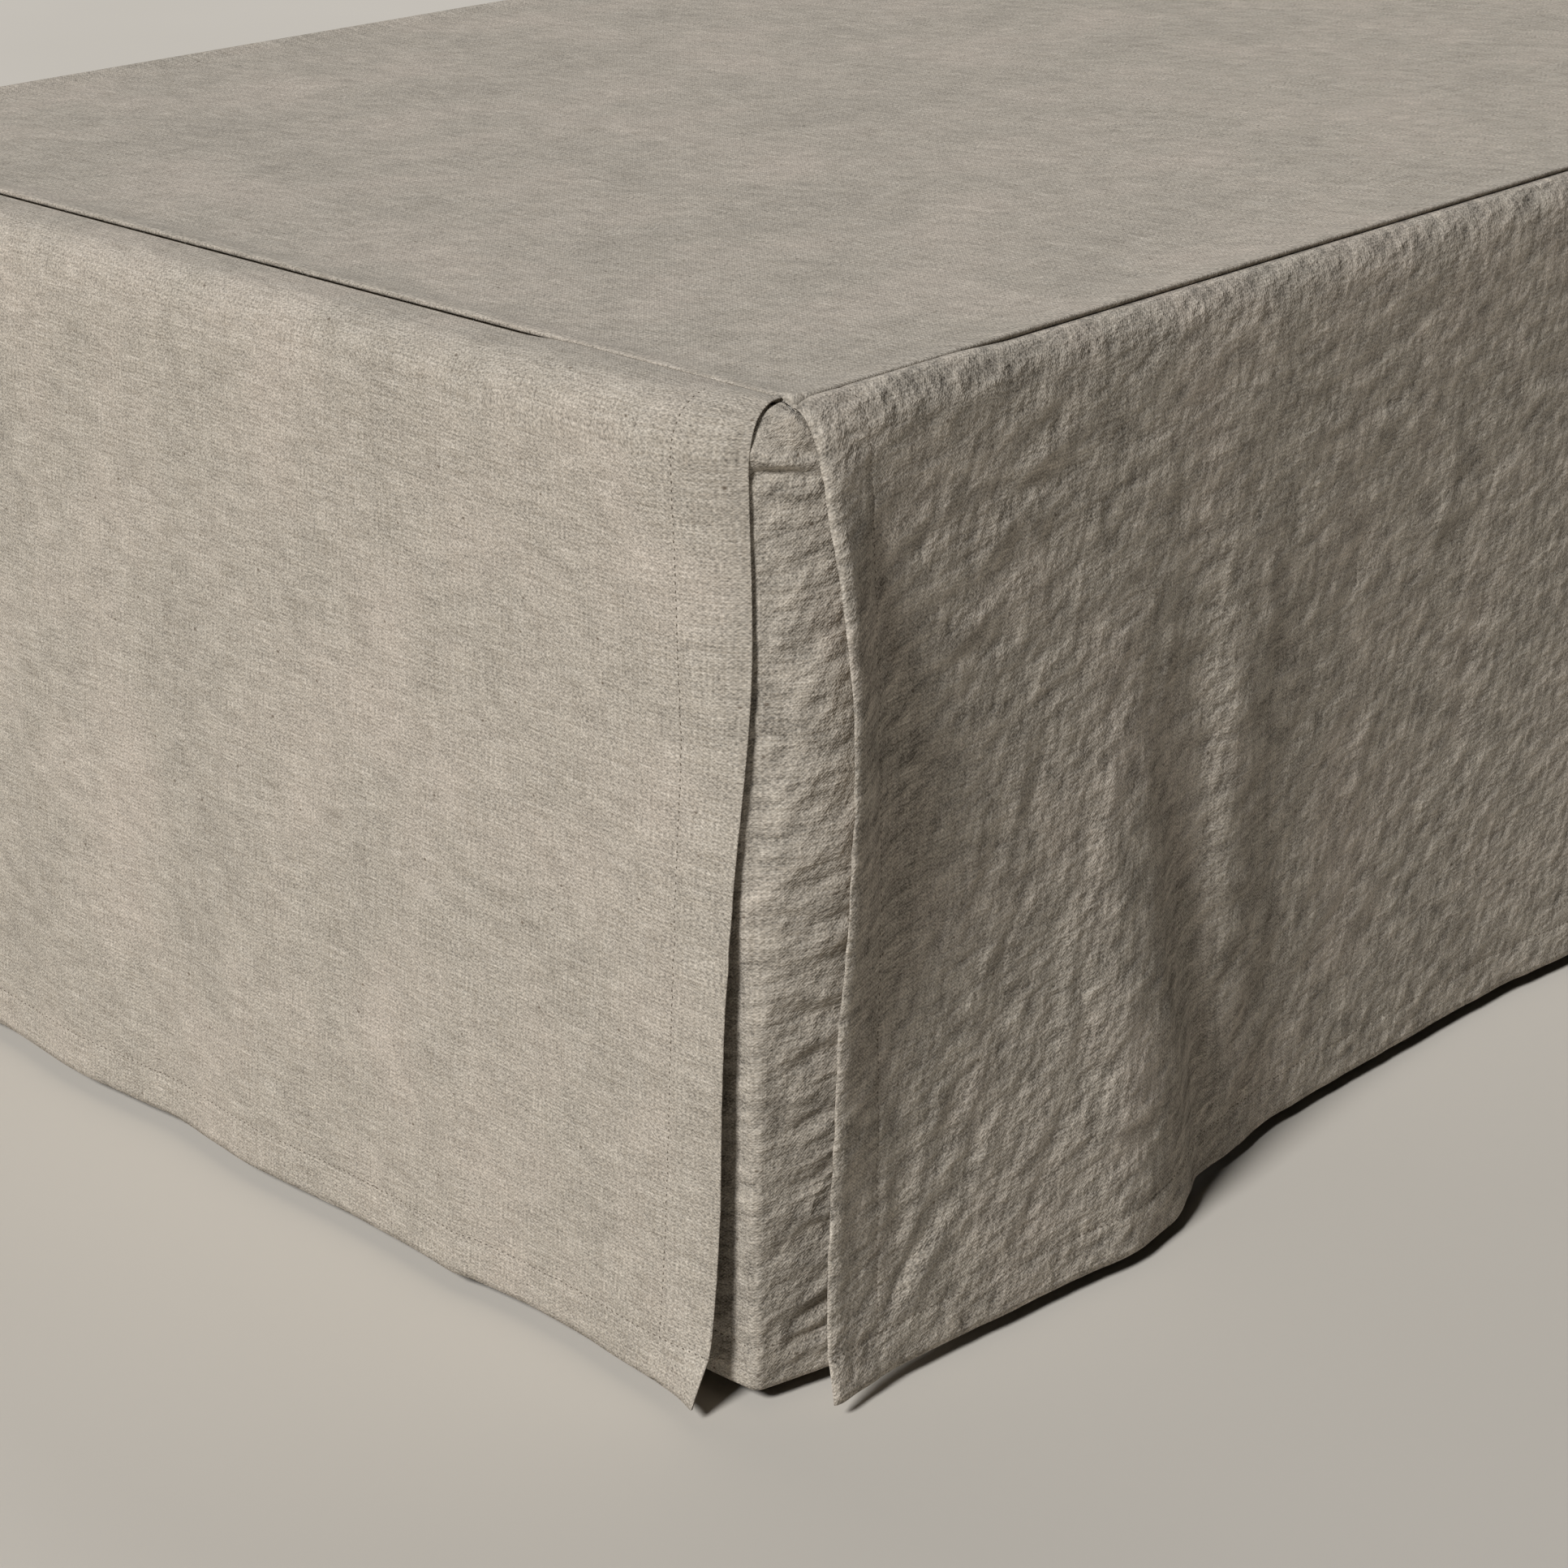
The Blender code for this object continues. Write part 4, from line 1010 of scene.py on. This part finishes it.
def makeInsert(side, name, node):
    insert = insertShape
    half = np.linspace(0, 1, insert["columns"]) ** insert["bunch"]
    shares = np.concatenate((-half[:0:-1], half))
    heights = fallHeights(insert["rowStep"])
    edgeRows = insert["edgeRows"]
    points = np.array([insertColumn(side, share, heights, edgeRows) for share in shares])
    facing = -side
    normals = outwardNormals(points) * facing
    down, height = runDown(points, edgeRows)
    along = np.repeat((shares * insert["run"])[:, None], points.shape[1], axis=1)
    onCloth = along / mm, height / mm
    relief = creaseDepth(insertCreases, *onCloth) + crumple(*onCloth, insert["waves"])
    covered = eased((np.abs(along) - insert["coveredFrom"]) / insert["coveredOver"])
    pressed = insert["pressed"]
    relief = np.where(relief > pressed, relief - (relief - pressed) * covered, relief)
    relief = relief * insert["creases"] * eased(down / insert["calm"])
    relief += hemRelief(along, height, []) * (1 - covered)
    points = points + normals * relief[:, :, None]
    for part, clearance in ((points[:, edgeRows:], insert["clearance"]),
                            (points[:, :edgeRows], skirt["lie"])):
        part[:] = keptOff(part.reshape(-1, 3), clearance).reshape(part.shape)
    normals = outwardNormals(points) * facing
    points = points + normals * skirt["plain"] / 2
    rows = sewnRow(heights, edgeRows)
    cut = gridOf(along[:, 0], -down.mean(axis=0))
    hemmed = np.repeat((np.arange(points.shape[1]) >= rows)[None], len(points), axis=0)
    finish = washedLinen(name + "Linen", *insert["crumples"])
    piece = clothPiece(name, node, points, cut, hemmed, facing, finish)
    stitches = sewnStitches(name + "Stitches", [points[:, rows]])
    print(name, "made")


makeInsert(1, "rightInsert", "corner_insert_right")
makeInsert(-1, "leftInsert", "corner_insert_left")

deck = {
    "step": 7.5 * mm,
    "edgeSteps": (0, 1, 2, 3.2, 5, 8, 12, 17, 24),  # mm in from each edge
    "waves": ((150, 60, 35, 1.1, 61), (70, 30, 120, 0.7, 67), (34, 16, 20, 0.35, 71)),
    "deepest": 0.2 * mm,
    "calm": 20 * mm,
    "crumples": (0.8 * mm, 0.5, 0.3 * mm),
    "flat": (0.869, 1.912),
}


def deckPlaces(low, high):
    near = np.array(deck["edgeSteps"]) * mm
    middle = stepsWith(low + near[-1] + deck["step"], high - near[-1] - deck["step"], deck["step"], ())
    return np.concatenate((low + near, middle, high - near[::-1]))


def makeDeck():
    drawn = skirt["seamGap"] + hem["seamOpen"]
    side = bed["width"] / 2 - skirt["sideSeamIn"] - drawn
    xs = deckPlaces(-side, side)
    ys = deckPlaces(-bed["length"] / 2 + skirt["footSeamIn"] + drawn, bed["length"] / 2 - skirt["headGap"])
    cut = gridOf(xs, ys)
    points = np.array([[(x, y, lyingHeight(x, y)) for y in ys] for x in xs])
    inward = np.minimum(side - np.abs(cut[:, :, 0]), np.minimum(cut[:, :, 1] - ys[0], ys[-1] - cut[:, :, 1]))
    relief = crumple(cut[:, :, 0] / mm, cut[:, :, 1] / mm, deck["waves"])
    relief = np.maximum(relief, -deck["deepest"]) * eased(inward / deck["calm"])
    relief += seamPuff(inward, hem["deckPuff"])
    points[:, :, 2] += relief + skirt["plain"] / 2
    # the lip along each side and the foot dies away towards the corner between them
    fromSide, fromFoot = side - np.abs(cut[:, :, 0]), cut[:, :, 1] - ys[0]
    for axis, away, other, way in ((0, fromSide, fromFoot, np.sign(cut[:, :, 0])),
                                   (1, fromFoot, fromSide, -1)):
        away = away / hem["lipAt"]
        lean = away ** 2 * np.exp(2 - 2 * away) * hem["deckLip"]
        points[:, :, axis] += lean * eased((other - hem["lipFrom"]) / hem["lipOver"]) * way
    hemmed = np.zeros(inward.shape, bool)
    finish = washedLinen("deckLinen", *deck["crumples"])
    piece = clothPiece("deckSheet", "deck", points, cut, hemmed, 1, finish)
    print("deck made")


makeDeck()

ticking = cottonTicking("cottonTicking")
birch = oiledBirch("oiledBirch")
for name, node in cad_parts.items():
    if name == "bed_base":
        node.material_slots[0].material = ticking
    elif name.startswith("leg_"):
        node.material_slots[0].material = birch
print("base and legs finished")

studio = {
    "floorSize": 60.0,
    "floorTones": ("cbc5bb", "d3cdc4"),
    # lights that shine from far away: which way they come from (degrees from the foot of the bed
    # towards its right side, then up), how wide they look, and how strong they are
    "key": (7, 41, 13, 3.2),
    "back": (235, 34, 20, 1.0),
    "fill": 0.01,  # even light from all sides
    "wall": "cfccc7",
}


def makeFloor():
    size = studio["floorSize"] / 2
    mesh = bpy.data.meshes.new("floor")
    corners = [(x * size, y * size, 0) for x, y in ((-1, -1), (1, -1), (1, 1), (-1, 1))]
    mesh.from_pydata(corners, [], [(0, 1, 2, 3)])
    floor = inScene("floor", mesh)
    # smooth pale plaster, matt, with a tone that drifts very slightly
    made, tree, shader = newMaterial("paleFloor", {"Roughness": 0.9})
    place = onPiece(tree)
    drift = noiseAt(tree, place, 1.5, 2.0)
    first, second = (toLinear(code) for code in studio["floorTones"])
    tone = addNode(tree, "ShaderNodeMixRGB", {"Fac": drift, "Color1": first, "Color2": second})
    tree.links.new(tone.outputs[0], shader.inputs["Base Color"])
    mesh.materials.append(made)


makeFloor()


def makeLights():
    for name in ("key", "back"):
        turn, rise, width, strength = studio[name]
        data = bpy.data.lights.new(name, "SUN")
        data.angle = math.radians(width)
        data.energy = strength
        light = inScene(name, data)
        light.rotation_euler = (math.radians(90 - rise), 0, math.radians(turn))
    world = bpy.data.worlds.new("studio")
    world.use_nodes = True
    tree = world.node_tree
    tree.nodes["Background"].inputs["Color"].default_value = toLinear(studio["wall"])
    # the wall is pale where it is seen, and lights the room with the fill alone
    seen = rescaled(tree, addNode(tree, "ShaderNodeLightPath"), 0, 1, studio["fill"])
    tree.links.new(seen.outputs[0], tree.nodes["Background"].inputs["Strength"])
    bpy.context.scene.world = world
    bpy.context.scene.view_settings.view_transform = "Standard"


makeLights()


view = {
    "lens": 78.26,
    "sensor": 36,
    "from": (1.0098, -1.0551, 0.9521),  # the floor below the base's nearest corner
    "down": 22.7,  # degrees
    "turn": 43.2,
}


def makeCamera():
    data = bpy.data.cameras.new("camera")
    data.lens = view["lens"]
    data.sensor_width = view["sensor"]
    camera = inScene("camera", data)
    camera.location = np.array((baseHigh[0], baseLow[1], 0)) + view["from"]
    camera.rotation_euler = (math.radians(90 - view["down"]), 0, math.radians(view["turn"]))
    bpy.context.scene.camera = camera


makeCamera()
print("studio ready")
